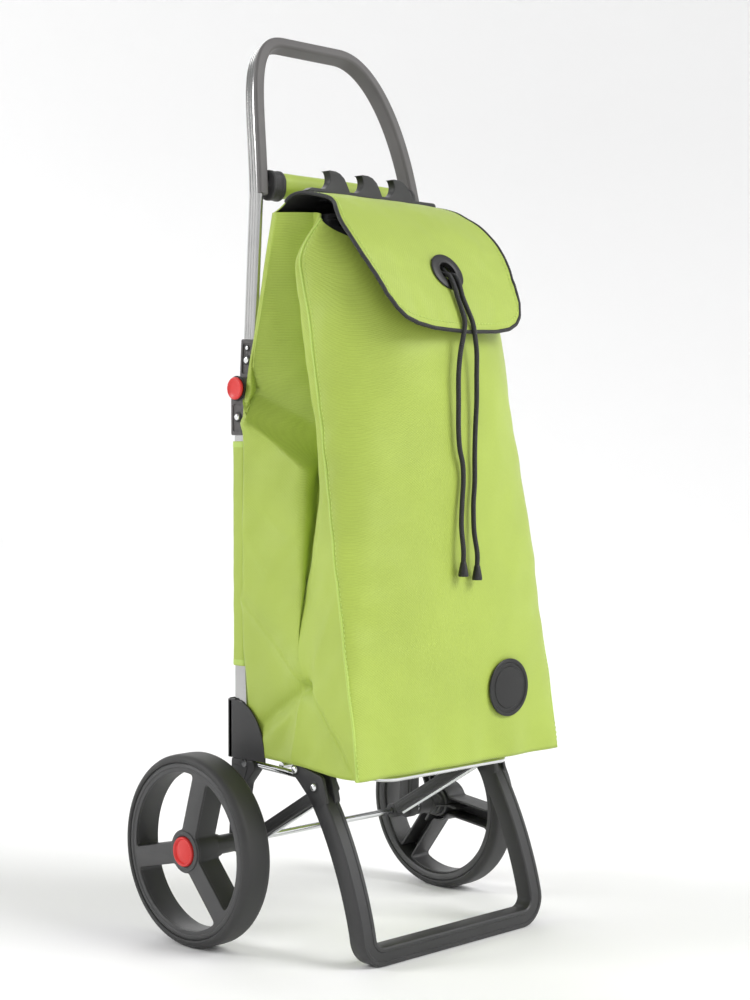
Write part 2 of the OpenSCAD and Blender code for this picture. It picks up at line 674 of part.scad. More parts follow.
bar_d = 8;
bar_eye_d = 11;
bar_eye_w = 6;
foot_gap_w = 9;
fork_d = 52;
platform_angle = atan2(foot_pivot_z - platform_z, platform_setback - foot_pivot_setback);
platform_len = norm([foot_pivot_z - platform_z, foot_pivot_setback - platform_setback]);
module platform_bar(s) {
    color(CHROME) side(s) difference() {
        union() {
            translate([lower_x, platform_y, platform_z]) rotate([180 - platform_angle, 0, 0])
                rotate([90, 0, 0]) translate([0, 0, 4]) cylinder(h = platform_len - 8, d = bar_d);
            rod_x(lower_x - bar_eye_w / 2, lower_x + bar_eye_w / 2, platform_y, platform_z,
                bar_eye_d);
            rod_x(lower_x - bar_eye_w / 2, lower_x + bar_eye_w / 2, foot_pivot_y, foot_pivot_z,
                bar_eye_d);
        }
        for (p = [[platform_y, platform_z], [foot_pivot_y, foot_pivot_z]])
            rod_x(lower_x - 8, lower_x + 8, p[0], p[1], pin_d + 2 * pin_gap);
        for (p = [[platform_y, platform_z], [foot_pivot_y, foot_pivot_z]], t = [-1, 1])
            translate([lower_x + t * (bar_eye_w / 2 + 4), p[0], p[1]])
                cube([8, 38, bar_eye_d + 1], center = true);
    }
}
module platform_bar_left() { platform_bar(-1); }
module platform_bar_right() { platform_bar(1); }

tie_y = axle_y - 70;
tie_z = platform_z + 1.5;
tie_d = 8;
tie_end_x = lower_x - bar_d / 2;
module platform_tie() {
    color(CHROME) rod_x(-tie_end_x - 1, tie_end_x + 1, tie_y, tie_z + 0.7, tie_d);
}

// Wire loop that carries the front of the bag
wire_d = 6;
wire_z = 202;
wire_front_y = axle_y - 205;
wire_x = 104;
wire_r = 22;
module wire_loop_half() {
    translate([wire_x, tie_y, wire_z]) rotate([90, 0, 0])
        cylinder(h = tie_y - wire_front_y - wire_r, d = wire_d);
    translate([wire_x - wire_r, wire_front_y + wire_r, wire_z]) rotate([0, 0, -90])
        rotate_extrude(angle = 90) translate([wire_r, 0]) circle(d = wire_d);
    translate([0, wire_front_y, wire_z]) rotate([0, 90, 0])
        cylinder(h = wire_x - wire_r, d = wire_d);
}
module platform_wire() {
    color(CHROME) for (s = [-1, 1]) side(s) wire_loop_half();
}

board_t = 3;
board_half = 134;
board_back_y = axle_y - 37;
module base_board() {
    color(BLACK) translate([0, 0, bag_z + cloth + gap]) linear_extrude(board_t)
        polygon([[-board_half, board_back_y], [board_half, board_back_y],
            [board_half + 22, bag_front_y + 12], [-board_half - 22, bag_front_y + 12]]);
}

// ---------- foot ----------

// Side view of the arm: middle line as [distance in front of the axle, height]
arm_x = lower_x - 2;
arm_in_x = arm_x - foot_bar / 2;
arm_out_x = arm_x + foot_bar / 2;
foot_mid_y = foot_front_y + foot_bar / 2;
function arm_mid(t) = [
    cubic(foot_pivot_y - 13, strut_pivot_y - 13, foot_mid_y + 16, foot_mid_y + 2, t),
    cubic(foot_pivot_z - 6, 178, 100, foot_r + 1, t)
];
function arm_dir(t) = unit(arm_mid(min(t + 0.02, 1)) - arm_mid(max(t - 0.02, 0)));
ARM_STEPS = 10;
module arm_outline() {
    ts = [for (i = [0 : ARM_STEPS]) i / ARM_STEPS];
    polygon(concat(
        [for (t = ts) arm_mid(t) + [arm_dir(t)[1], -arm_dir(t)[0]] * foot_bar / 2],
        [for (i = [ARM_STEPS : -1 : 0]) let (t = i / ARM_STEPS)
            arm_mid(t) - [arm_dir(t)[1], -arm_dir(t)[0]] * foot_bar / 2]));
    translate([foot_pivot_y, foot_pivot_z - 1.5]) circle(d = 13);
    polygon([[foot_pivot_y + 5, foot_pivot_z - 7], [foot_pivot_y - 4, foot_pivot_z + 4],
        [strut_pivot_y - 12, strut_pivot_z + 13], [strut_pivot_y - 4, strut_pivot_z - 19]]);
}
foot_r = 34;
module foot_frame() {
    color(CHARCOAL) difference() {
        union() {
            for (s = [-1, 1]) side(s) {
                slab_x(arm_in_x, arm_out_x) arm_outline();
                translate([arm_out_x - foot_r, foot_mid_y, foot_r]) rotate([90, 0, 0])
                    translate([0, 0, -foot_bar / 2]) linear_extrude(foot_bar)
                        intersection() {
                            difference() {
                                circle(r = foot_r);
                                circle(r = foot_r - foot_bar);
                            }
                            translate([0, -foot_r]) square(foot_r);
                        }
                translate([arm_in_x, foot_front_y, foot_r]) cube([foot_bar, foot_bar, 5]);
            }
            translate([foot_r - arm_out_x, foot_front_y, 0])
                cube([2 * (arm_out_x - foot_r), foot_bar, foot_bar]);
        }
        for (s = [-1, 1]) side(s) {
            rod_x(arm_in_x - 1, arm_out_x + 1, foot_pivot_y, foot_pivot_z, pin_d);
            rod_x(arm_in_x - 1, arm_out_x + 1, strut_pivot_y, strut_pivot_z, pin_d);
            rod_x(lower_x - foot_gap_w / 2, lower_x + foot_gap_w / 2, foot_pivot_y, foot_pivot_z,
                fork_d);
        }
    }
}
module foot_pins() {
    color(CHROME) for (s = [-1, 1]) side(s)
        for (p = [[foot_pivot_y, foot_pivot_z], [strut_pivot_y, strut_pivot_z]]) {
            rod_x(arm_in_x, arm_out_x, p[0], p[1], pin_d);
            rod_x(arm_out_x, arm_out_x + 1.6, p[0], p[1], 9);
        }
}

// ---------- struts ----------

strut_h = 14;
strut_w = 15;
strut_end_gap = 12;
strut_len = norm([strut_pivot_setback, strut_pivot_z - axle_z]);
strut_angle = atan2(strut_pivot_z - axle_z, strut_pivot_setback);
module along_strut(s) {
    side(s) translate([strut_x, axle_y, axle_z]) rotate([-strut_angle, 0, 0]) children();
}
module strut(s) {
    color(CHARCOAL) along_strut(s) difference() {
        union() {
            translate([-strut_w / 2, -strut_len + 2, -strut_h / 2])
                cube([strut_w, strut_len - 2, strut_h]);
            translate([-strut_w / 2, 0, 0]) rotate([0, 90, 0]) cylinder(h = strut_w, d = 18);
        }
        translate([-strut_w, 0, 0]) rotate([0, 90, 0])
            cylinder(h = 2 * strut_w, d = axle_d + 2 * pin_gap);
        translate([-strut_w / 2 + 2.5, -strut_len - 1, -strut_h / 2 - 1])
            cube([strut_w - 5, strut_len - 16, strut_h - 3]);
    }
}
module strut_left() { strut(-1); }
module strut_right() { strut(1); }
module strut_rod(s) {
    color(CHROME) along_strut(s) translate([0, -12, -strut_h / 2 - 0.5])
        rotate([90, 0, 0]) cylinder(h = strut_len - 14, d = 5);
}
module strut_rod_left() { strut_rod(-1); }
module strut_rod_right() { strut_rod(1); }

// ---------- wheels ----------

rim_r = 100.5;
rim_in_r = 93;
hub_r = 19;
bush_d = 12;
cap_d = 34;
cap_t = 7;
module on_wheel(s, turn) {
    side(s) translate([wheel_x, axle_y, axle_z]) rotate([turn, 0, 0]) rotate([0, 90, 0]) children();
}
// Ring of width w between two radii, with its mid-plane at z = 0
module ring(r0, r1, w) {
    rotate_extrude($fn = 96) translate([r0, -w / 2]) square([r1 - r0, w]);
}
module wheel_rim(s, turn) {
    face = wheel_w / 2 - 1;
    color(CHARCOAL) on_wheel(s, turn) difference() {
        union() {
            ring(rim_in_r, rim_r, wheel_w - 4);
            ring(rim_in_r, rim_r - 2.5, wheel_w - 2);
            translate([0, 0, -wheel_w / 2 - boss_len + 1]) cylinder(h = boss_len + wheel_w - 2, r = 11);
            translate([0, 0, -face + 4]) cylinder(h = 2 * face - 4, r = hub_r);
            for (k = [0 : 2]) rotate([0, 0, 120 * k]) {
                translate([0, -spoke_w / 2, face - 4]) cube([rim_in_r + 1, spoke_w, 4]);
                for (t = [-1, 1]) translate([hub_r - 3, t * (spoke_w / 2 - 1.75) - 1.75, -face + 6])
                    cube([rim_in_r - hub_r + 4, 3.5, 2 * face - 8]);
            }
        }
        translate([0, 0, -100]) cylinder(h = 200, d = bush_d);
        translate([0, 0, face - 6.5]) cylinder(h = 20, d = 17);
        translate([0, 0, face - 1.5]) cylinder(h = 20, d = cap_d + 0.4);
    }
}
module wheel_rim_left() { wheel_rim(-1, spoke_turn_left + 90); }
module wheel_rim_right() { wheel_rim(1, spoke_turn_right + 90); }

tyre_round = 9;
module tyre(s) {
    r0 = rim_r;
    r1 = wheel_d / 2;
    h = wheel_w / 2;
    color(RUBBER) on_wheel(s, 0) rotate_extrude($fn = 96) {
        intersection() {
            translate([r0, -h]) square([r1 - r0, wheel_w]);
            union() {
                translate([r0, -h + tyre_round]) square([r1 - r0, wheel_w - 2 * tyre_round]);
                translate([r0 - 1, -h]) square([r1 - r0 + 1 - tyre_round, wheel_w]);
                for (t = [-1, 1]) translate([r1 - tyre_round, t * (h - tyre_round)])
                    circle(r = tyre_round);
            }
        }
    }
}
module tyre_left() { tyre(-1); }
module tyre_right() { tyre(1); }

module hub_cap(s) {
    face = wheel_w / 2 - 1;
    color(RED) on_wheel(s, 0) translate([0, 0, face - 1.5]) difference() {
        rotate_extrude() union() {
            square([cap_d / 2 - 2, 5]);
            square([cap_d / 2, 3]);
            translate([cap_d / 2 - 2, 3]) circle(r = 2);
        }
        translate([0, 0, -1]) cylinder(h = 3.2, d = 16);
    }
}
module hub_cap_left() { hub_cap(-1); }
module hub_cap_right() { hub_cap(1); }

module wheel_bush(s) {
    face = wheel_w / 2 - 1;
    color(SILVER) on_wheel(s, 0) translate([0, 0, -wheel_w / 2 - boss_len + 1.2]) difference() {
        cylinder(h = boss_len + wheel_w / 2 + face - 8, d = bush_d - 2 * pin_gap);
        translate([0, 0, -1]) cylinder(h = 200, d = axle_d + 2 * pin_gap);
    }
}
module wheel_bush_left() { wheel_bush(-1); }
module wheel_bush_right() { wheel_bush(1); }

lower_tube_left();
lower_tube_right();
lower_crossbar();
knuckle_lower_left();
knuckle_lower_right();
pivot_pins();
knuckle_rivets_lower();
knuckle_rivets_upper();
tube_sleeve_left();
tube_sleeve_right();
apron();
rear_leg_left();
rear_leg_right();
leg_bolts();
axle();
axle_washers();
platform_pins();
bag_body();
bag_collar();
badge();
drawcord_left();
drawcord_right();
cord_end_left();
cord_end_right();
handle_tube();
handle_grip();
upper_crossbar();
crossbar_band();
crossbar_straps();
hook_rail();
rail_screws();
knuckle_upper_left();
knuckle_upper_right();
flap_root();
bag_flap();
flap_piping();
eyelet();
fold_button_left();
fold_button_right();
button_springs();
platform_bar_left();
platform_bar_right();
platform_tie();
platform_wire();
base_board();
foot_frame();
foot_pins();
strut_left();
strut_right();
strut_rod_left();
strut_rod_right();
wheel_rim_left();
wheel_rim_right();
tyre_left();
tyre_right();
hub_cap_left();
hub_cap_right();
wheel_bush_left();
wheel_bush_right();
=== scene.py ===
import json
import math
import bpy
import bmesh
from mathutils import Matrix, Vector, noise

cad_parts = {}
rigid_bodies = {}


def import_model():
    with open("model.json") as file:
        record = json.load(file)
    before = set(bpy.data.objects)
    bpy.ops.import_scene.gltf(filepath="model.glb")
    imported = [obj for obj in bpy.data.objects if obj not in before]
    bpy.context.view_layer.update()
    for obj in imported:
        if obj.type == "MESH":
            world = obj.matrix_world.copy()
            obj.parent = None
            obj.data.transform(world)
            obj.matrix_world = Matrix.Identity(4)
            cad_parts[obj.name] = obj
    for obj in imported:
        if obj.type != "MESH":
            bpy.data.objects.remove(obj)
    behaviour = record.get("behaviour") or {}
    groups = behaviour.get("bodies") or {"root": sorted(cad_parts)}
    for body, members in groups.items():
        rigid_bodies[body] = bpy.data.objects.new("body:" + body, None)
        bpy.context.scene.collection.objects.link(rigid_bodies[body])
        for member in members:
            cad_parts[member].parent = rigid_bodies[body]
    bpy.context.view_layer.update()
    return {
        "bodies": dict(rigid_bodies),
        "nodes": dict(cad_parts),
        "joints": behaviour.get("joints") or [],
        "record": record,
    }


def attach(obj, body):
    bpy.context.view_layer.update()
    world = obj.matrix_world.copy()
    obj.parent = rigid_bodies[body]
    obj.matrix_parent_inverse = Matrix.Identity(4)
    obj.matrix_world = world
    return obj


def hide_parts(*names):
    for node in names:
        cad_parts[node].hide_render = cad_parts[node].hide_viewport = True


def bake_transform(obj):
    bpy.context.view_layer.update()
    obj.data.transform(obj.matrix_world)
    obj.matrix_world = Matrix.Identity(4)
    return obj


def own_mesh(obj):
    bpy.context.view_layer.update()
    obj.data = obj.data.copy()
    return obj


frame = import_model()

AXLE = 59.0          # the axle is this far behind the frame's origin, mm
MM = 0.001
SIDES = {"left": -1, "right": 1}     # each side's direction along X


def P(x, y, z):
    """Millimetres in the frame, y counted from the axle line, to metres."""
    return Vector((x, y + AXLE, z)) * MM


def smooth(a, b, t):
    t = min(max((t - a) / (b - a), 0.0), 1.0)
    return t * t * (3 - 2 * t)


def uneven(x, y, z):
    """Smooth noise from about -1 to 1, the same in every run."""
    return noise.noise(Vector((x, y, z)))


def new_object(name, data):
    o = bpy.data.objects.new(name, data)
    bpy.context.scene.collection.objects.link(o)
    return o


# ------------------------------------------------------------------ camera and light

LENS, SENSOR = 66.56, 36                      # mm
CAMERA_AT = (-1.5398, -1.5763, 0.5719)        # m
CAMERA_DOWN, CAMERA_TURN = 1.71, -44.75       # degrees below level, and round Z


def camera():
    data = bpy.data.cameras.new("camera")
    data.lens, data.sensor_width = LENS, SENSOR
    cam = new_object("camera", data)
    cam.location = CAMERA_AT
    cam.rotation_euler = (math.radians(90 - CAMERA_DOWN), 0, math.radians(CAMERA_TURN))
    bpy.context.scene.camera = cam


def studio_world(strength):
    """Even white surround."""
    world = bpy.data.worlds.new("studio")
    world.use_nodes = True
    shown = world.node_tree.nodes["Background"]
    shown.inputs[0].default_value = (1, 1, 1, 1)
    shown.inputs[1].default_value = strength
    bpy.context.scene.world = world


def sun(name, source, strength, spread):
    """Soft far light that comes from the direction of source."""
    data = bpy.data.lights.new(name, "SUN")
    data.energy = strength
    data.angle = math.radians(spread)
    new_object(name, data).rotation_euler = Vector(source).to_track_quat("Z", "Y").to_euler()


camera()
bpy.context.scene.view_settings.view_transform = "Standard"
studio_world(0.45)
sun("key", (0.45, -1.0, 0.85), 1.95, 30)
sun("left", (-1.0, 0.75, 0.75), 1.1, 22)
sun("rear", (0.5, 1.0, 0.8), 0.8, 40)


# ------------------------------------------------------------------ materials

def new_material(name, color, rough, metallic=0.0):
    m = bpy.data.materials.new(name)
    m.use_nodes = True
    b = m.node_tree.nodes["Principled BSDF"]
    b.inputs["Base Color"].default_value = (*color, 1)
    b.inputs["Roughness"].default_value = rough
    b.inputs["Metallic"].default_value = metallic
    return m, m.node_tree, b


def put(t, value, socket):
    """Links the socket to another one, or sets it to a plain value."""
    if isinstance(value, bpy.types.NodeSocket):
        t.links.new(value, socket)
    else:
        socket.default_value = value


def node(t, kind, **inputs):
    n = t.nodes.new("ShaderNode" + kind)
    for k, v in inputs.items():
        put(t, v, n.inputs[k.replace("_", " ")])
    return n


def calc(t, operation, *values):
    n = t.nodes.new("ShaderNodeMath")
    n.operation = operation
    for socket, value in zip(n.inputs, values):
        put(t, value, socket)
    return n.outputs[0]


def clouds(t, at, scale, detail):
    return node(t, "TexNoise", Vector=at, Scale=scale, Detail=detail).outputs[0]


def ramp(t, source, low, high, at=(0.35, 0.65)):
    r = t.nodes.new("ShaderNodeValToRGB")
    for stop, position, color in zip(r.color_ramp.elements, at, (low, high)):
        stop.position = position
        stop.color = (*color, 1)
    put(t, source, r.inputs[0])
    return r.outputs[0]


def shades(color, spread):
    return [tuple(min(c * k, 1) for c in color) for k in (1 - spread, 1 + spread)]


def mottled(t, b, haze, color, spread, smoothest, roughest):
    """Tone and roughness that drift with one soft noise."""
    put(t, ramp(t, haze, *shades(color, spread)), b.inputs["Base Color"])
    r = node(t, "MapRange", Value=haze, To_Min=smoothest, To_Max=roughest)
    put(t, r.outputs[0], b.inputs["Roughness"])


def relief(t, b, strength, distance, height, **under):
    """Bump on the shader's normal, over another bump if one is given."""
    n = node(t, "Bump", Strength=strength, Distance=distance, Height=height, **under)
    put(t, n.outputs[0], b.inputs["Normal"])
    return n.outputs[0]


def plastic(name, color, rough=0.45, grain=0.12, spread=0.10):
    """Moulded plastic: fine grain in the bump, a little mottling, smoother and rougher patches."""
    m, t, b = new_material(name, color, rough)
    at = node(t, "TexCoord").outputs["Object"]
    mottled(t, b, clouds(t, at, 14.0, 4.0), color, spread, rough - 0.06, rough + 0.08)
    relief(t, b, grain, 0.0006, clouds(t, at, 900.0, 3.0))
    return m


def metal(name, color, rough, brushed):
    """Metal with faint lengthwise drawing marks along Z and slight handling haze."""
    m, t, b = new_material(name, color, rough, 1.0)
    at = node(t, "TexCoord").outputs["Object"]
    drawn = node(t, "Mapping", Vector=at, Scale=(1, 1, 0.02)).outputs[0]
    mottled(t, b, clouds(t, at, 20.0, 5.0), color, 0.05, rough * 0.8, rough * 1.3)
    relief(t, b, brushed, 0.0003, clouds(t, drawn, 900.0, 3.0))
    return m


def fabric(name, color, thread=0.0015, rough=0.6, weave=0.35, sheen=0.12):
    """Plain-woven polyester: crossing threads in bump and in painted shade between them, cloudy tone, satin
    gloss.
    """
    m, t, b = new_material(name, color, rough)
    at = node(t, "TexCoord").outputs["Object"]
    x, y, z = node(t, "SeparateXYZ", Vector=at).outputs
    turns = math.pi / thread
    across, along = (calc(t, "SINE", calc(t, "MULTIPLY", way, turns)) for way in (calc(t, "ADD", x, y), z))
    slub = clouds(t, at, 420.0, 2.0)
    height = calc(t, "MULTIPLY_ADD", calc(t, "MULTIPLY", across, along), 0.5, slub)
    soft = clouds(t, at, 9.0, 5.0)
    threads = relief(t, b, weave, 0.0004, height)
    relief(t, b, 0.25, 0.004, soft, Normal=threads)
    tone = ramp(t, soft, *shades(color, 0.05))
    # painted shade: the base colour is darkened down to 0.86 where the threads dip
    shade = ramp(t, height, (0.86, 0.86, 0.86), (1, 1, 1), (0.2, 0.8))
    dark = t.nodes.new("ShaderNodeMix")
    dark.data_type, dark.blend_type = "RGBA", "MULTIPLY"
    for key, value in (("Factor", 0.5), ("A", tone), ("B", shade)):
        put(t, value, dark.inputs[key])
    put(t, dark.outputs["Result"], b.inputs["Base Color"])
    b.inputs["Sheen Weight"].default_value = sheen
    b.inputs["Sheen Roughness"].default_value = 0.4
    return m


GREEN = (0.395, 0.510, 0.076)
MAT = {
    "green_fabric": fabric("green_weave", GREEN, rough=0.5),
    "green_edge": fabric("green_binding", (0.46, 0.62, 0.12), rough=0.45, weave=0.15),
    "green_thread": plastic("green_thread", (0.55, 0.70, 0.18), 0.5),
    "black_fabric": fabric("black_weave", (0.018, 0.018, 0.019), rough=0.62, weave=0.5, sheen=0.06),
    "webbing": fabric("webbing", (0.030, 0.029, 0.030), thread=0.0016, rough=0.55, weave=0.9, sheen=0.05),
    "charcoal_plastic": plastic("charcoal_satin", (0.029, 0.029, 0.030), 0.45, 0.16),
    "wheel_plastic": plastic("wheel_plastic", (0.050, 0.050, 0.051), 0.46, 0.20),
    "grey_plastic": plastic("grey_plastic", (0.075, 0.070, 0.070), 0.42, 0.14),
    "grip_foam": plastic("grip_soft", (0.105, 0.100, 0.098), 0.52, 0.10),
    "black_plastic": plastic("black_plastic", (0.010, 0.010, 0.010), 0.46, 0.18),
    "rubber": plastic("tyre_rubber", (0.027, 0.027, 0.027), 0.55, 0.22),
    "red_plastic": plastic("red_plastic", (0.66, 0.030, 0.028), 0.33, 0.05, 0.04),
    "aluminium": metal("satin_aluminium", (0.46, 0.46, 0.455), 0.20, 0.05),
    "chrome": metal("bright_steel", (0.78, 0.79, 0.80), 0.10, 0.02),
    "cord": fabric("cord_braid", (0.012, 0.012, 0.013), thread=0.0012, rough=0.6, weave=0.8),
}


# ------------------------------------------------------------------ mesh helpers

def cleaned(me, merge):
    """Joins points closer than merge, metres, and turns every face outward."""
    bm = bmesh.new()
    bm.from_mesh(me)
    bmesh.ops.remove_doubles(bm, verts=bm.verts, dist=merge)
    bmesh.ops.recalc_face_normals(bm, faces=bm.faces)
    bm.to_mesh(me)
    bm.free()


def shaded(me, sharp):
    """Smooth shading with hard edges above sharp degrees."""
    me.polygons.foreach_set("use_smooth", [True] * len(me.polygons))
    me.set_sharp_from_angle(angle=math.radians(sharp))


def evaluated(o):
    """New mesh of an object with its modifiers or curve settings applied."""
    bpy.context.view_layer.update()
    return bpy.data.meshes.new_from_object(o.evaluated_get(bpy.context.evaluated_depsgraph_get()))


def mesh_from(name, verts, faces):
    me = bpy.data.meshes.new(name)
    me.from_pydata([tuple(v) for v in verts], [], faces)
    return me


def finish_mesh(name, verts, faces, mat, sharp=35.0):
    me = mesh_from(name, verts, faces)
    me.validate()
    cleaned(me, 2e-6)
    shaded(me, sharp)
    me.materials.append(MAT[mat])
    return new_object(name, me)


def tube_faces(rings, n):
    return [(i * n + j, i * n + (j + 1) % n, (i + 1) * n + (j + 1) % n, (i + 1) * n + j)
            for i in range(rings - 1) for j in range(n)]


def skin(name, rings, mat, sharp=35.0, caps=True):
    n = len(rings[0])
    faces = tube_faces(len(rings), n)
    if caps:
        faces += [tuple(reversed(range(n))), tuple((len(rings) - 1) * n + j for j in range(n))]
    return finish_mesh(name, [v for r in rings for v in r], faces, mat, sharp)


def lathe(name, profile, place, axis, mat, steps=64, sharp=35.0):
    """Turns (radius, height) points in mm round an axis through place (metres)."""
    turn = Vector((0, 0, 1)).rotation_difference(Vector(axis)).to_matrix()
    angles = [2 * math.pi * k / steps for k in range(steps)]
    rings = [[Vector(place) + turn @ (Vector((r * math.cos(a), r * math.sin(a), h)) * MM) for a in angles]
             for r, h in profile]
    return skin(name, rings, mat, sharp, caps=profile[0] != profile[-1])


def plate(name, outlines, thick, matrix, mat, bevel=0.8):
    """Flat plate with holes from closed outlines (mm), its middle plane at z = 0 of matrix."""
    c = bpy.data.curves.new(name, "CURVE")
    c.dimensions = "2D"
    c.fill_mode = "BOTH"
    c.extrude = (thick / 2 - bevel) * MM
    c.bevel_depth = bevel * MM
    c.bevel_resolution = 2
    c.offset = -bevel * MM
    for pts in outlines:
        s = c.splines.new("POLY")
        s.points.add(len(pts) - 1)
        for p, q in zip(s.points, pts):
            p.co = (q[0] * MM, q[1] * MM, 0, 1)
        s.use_cyclic_u = True
    o = new_object(name, c)
    me = evaluated(o)
    bpy.data.objects.remove(o)
    me.transform(matrix)
    cleaned(me, 1e-6)
    shaded(me, 30.0)
    me.materials.clear()
    me.materials.append(MAT[mat])
    return new_object(name, me)


def join(objs, name):
    bpy.ops.object.select_all(action="DESELECT")
    for o in objs:
        o.select_set(True)
    bpy.context.view_layer.objects.active = objs[0]
    bpy.ops.object.join()
    o = bpy.context.view_layer.objects.active
    o.name = name
    o.data.name = name
    return o


def dressed(nodes):
    """Hides the CAD nodes that a piece stands for."""
    if nodes:
        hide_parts(*nodes)


def placed(o, body, slot, *nodes):
    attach(o, body)
    dressed(nodes)


def side_plane(x, z=0.0):
    """Plate plane to the YZ plane at x: plate (u, v) becomes y and the height above z."""
    return Matrix(((0, 0, 1, x * MM), (1, 0, 0, AXLE * MM), (0, 1, 0, z * MM), (0, 0, 0, 1)))


def front_plane(y):
    """Plate plane to the XZ plane at y: plate (u, v) becomes (x, z)."""
    return Matrix.Translation(P(0, y, 0)) @ Matrix(((1, 0, 0, 0), (0, 0, 1, 0), (0, 1, 0, 0), (0, 0, 0, 1)))


def vectors(points):
    return [Vector(p) for p in points]


def bezier(a, b, c, d, t):
    return a * (1 - t) ** 3 + b * 3 * t * (1 - t) ** 2 + c * 3 * t * t * (1 - t) + d * t ** 3


def catmull(a, b, c, d, t):
    return 0.5 * (2 * b + (c - a) * t + (2 * a - 5 * b + 4 * c - d) * t * t
                  + (3 * b - a - 3 * c + d) * t ** 3)


def spline(points, per=8):
    """Catmull-Rom through points of any dimension."""
    pts = vectors(points)
    n = len(pts)
    out = [catmull(pts[max(i - 1, 0)], pts[i], pts[i + 1], pts[min(i + 2, n - 1)], k / per)
           for i in range(n - 1) for k in range(per)]
    return out + [pts[-1]]


def rounded(points, radius, per=5):
    """Closed outline with each corner rounded by radius (one number, or one per point)."""
    out = []
    n = len(points)
    for i, p in enumerate(points):
        r = radius[i] if isinstance(radius, (list, tuple)) else radius
        p = Vector(p)
        a, b = Vector(points[i - 1]) - p, Vector(points[(i + 1) % n]) - p
        if r <= 0.01:
            out.append(p)
            continue
        half = a.angle(b) / 2
        cut = min(r / max(math.tan(half), 0.05), a.length * 0.49, b.length * 0.49)
        s, e = p + a.normalized() * cut, p + b.normalized() * cut
        for t in (k / per for k in range(per + 1)):
            out.append(s * (1 - t) ** 2 + p * 2 * t * (1 - t) + e * t * t)
    return out


def box(x0, z0, x1, z1):
    return [(x0, z0), (x1, z0), (x1, z1), (x0, z1)]


def heading(points, i):
    """Direction of a path at its point i."""
    return (points[min(i + 1, len(points) - 1)] - points[max(i - 1, 0)]).normalized()


def rope_tube(name, path, radius, mat, sides=10, twist=0.0, ridge=0.0):
    """Tube along a list of points in metres; ridge and twist make a laid or braided surface."""
    rings = []
    side = heading(path, 0).orthogonal().normalized()
    run = 0.0
    for i, p in enumerate(path):
        t = heading(path, i)
        side = (side - t * side.dot(t)).normalized()
        up = t.cross(side)
        if i:
            run += (p - path[i - 1]).length
        ring = []
        for k in range(sides):
            a = 2 * math.pi * k / sides
            r = radius * (1 + ridge * math.cos(4 * a + twist * run) * math.cos(4 * a - twist * run))
            ring.append(p + side * (math.cos(a) * r * MM) + up * (math.sin(a) * r * MM))
        rings.append(ring)
    return skin(name, rings, mat, sharp=50.0)


def even(path, step):
    """The same route with points every step metres."""
    out = [path[0].copy()]
    need = step
    for a, b in zip(path, path[1:]):
        seg = (b - a).length
        at = 0.0
        while seg - at >= need:
            at += need
            out.append(a.lerp(b, at / seg))
            need = step
        need -= seg - at
    out.append(path[-1].copy())
    return out


def dome(x, y, z, out, r, flat=False):
    """Rivet head: bright dome in a dark ring, facing the direction out."""
    h = 0.5 if flat else 0.9
    head = [(r * 0.98, 0.0), (r, 0.2 * r * h)]
    head += [(r * math.cos(a), (0.2 * r + 0.75 * r * math.sin(a)) * h)
             for a in map(math.radians, range(12, 90, 13))]
    head.append((0.0001, 0.95 * r * h))
    wide = r * 1.42
    ring = [(0.0001, 0), (wide, 0), (wide, 0.45 * h), (wide * 0.9, 0.8 * h), (0.0001, 0.8 * h)]
    place = P(x, y, z)
    return join([lathe("rivet", head, place, out, "chrome", 28, 60),
                 lathe("rivet_ring", ring, place, out, "black_plastic", 28)], "rivet")


# ------------------------------------------------------------------ drawcords

# Both cords' first stretch, from inside the mouth over the rim to the eyelet, as (y, z), then what hangs.
# Here y counts from the frame's origin, not from the axle line.
OVER_RIM = [(-86, 772), (-92, 783), (-99, 790), (-107, 793), (-113, 792), (-119, 788), (-123, 781),
            (-127, 773), (-133, 767), (-140, 765), (-147, 763), (-151, 758), (-154, 752)]
HANGING = {
    "left": [(-4, -156, 746), (-4, -159, 738), (-4, -165, 725), (-5, -171, 710), (-8, -172, 695),
             (-12, -171, 675), (-15, -171, 650), (-15, -171, 620), (-15, -171, 590), (-13, -171, 568),
             (-8, -171, 550), (-7, -171, 530), (-9, -171, 505), (-11, -172, 480), (-11, -175, 455),
             (-11, -175, 441)],
    "right": [(5, -156, 746), (5, -159, 738), (6, -165, 725), (8, -171, 710), (11, -172, 695),
              (14, -172, 675), (15, -171, 650), (15, -171, 620), (13, -171, 590), (12, -171, 560),
              (12, -171, 530), (10, -171, 505), (10, -172, 475), (12, -175, 450), (12, -175, 436)]}
CORD_D = 5.5


def drawcord(side):
    route = [(5 * SIDES[side], y, z) for y, z in OVER_RIM] + HANGING[side]
    path = even(spline([Vector(p) * MM for p in route]), 0.0012)
    cord = rope_tube("drawcord_" + side + "_braid", path, CORD_D / 2, "cord", 12, 1500.0, 0.06)
    bell = lathe("cord_end_" + side + "_bell",
                 [(0.0001, 0), (2.6, 0), (3.4, -1), (3.8, -3), (5.6, -13), (5.9, -15.8), (5.4, -17),
                  (3.2, -17), (3.0, -14.6), (0.0001, -14.6)], path[-1], (0, 0, 1), "black_plastic", 24)
    placed(cord, "frame", "black_fabric", "drawcord_" + side)
    placed(bell, "frame", "black_plastic", "cord_end_" + side)


for each in SIDES:
    drawcord(each)


# ------------------------------------------------------------------ wheels

WHEEL_X, WHEEL_Z, WHEEL_R, WHEEL_HALF = 206, 110, 110, 19
RIM_R, RIM_IN, SPOKE_W = 100.5, 93.0, 24.0
SPOKES = {"left": -13, "right": 67}
TYRE_ROUND = 8       # radius of the tyre's shoulders


def arc(r, a0, a1, n):
    angles = [math.radians(a0 + (a1 - a0) * k / n) for k in range(n + 1)]
    return [(r * math.cos(a), r * math.sin(a)) for a in angles]


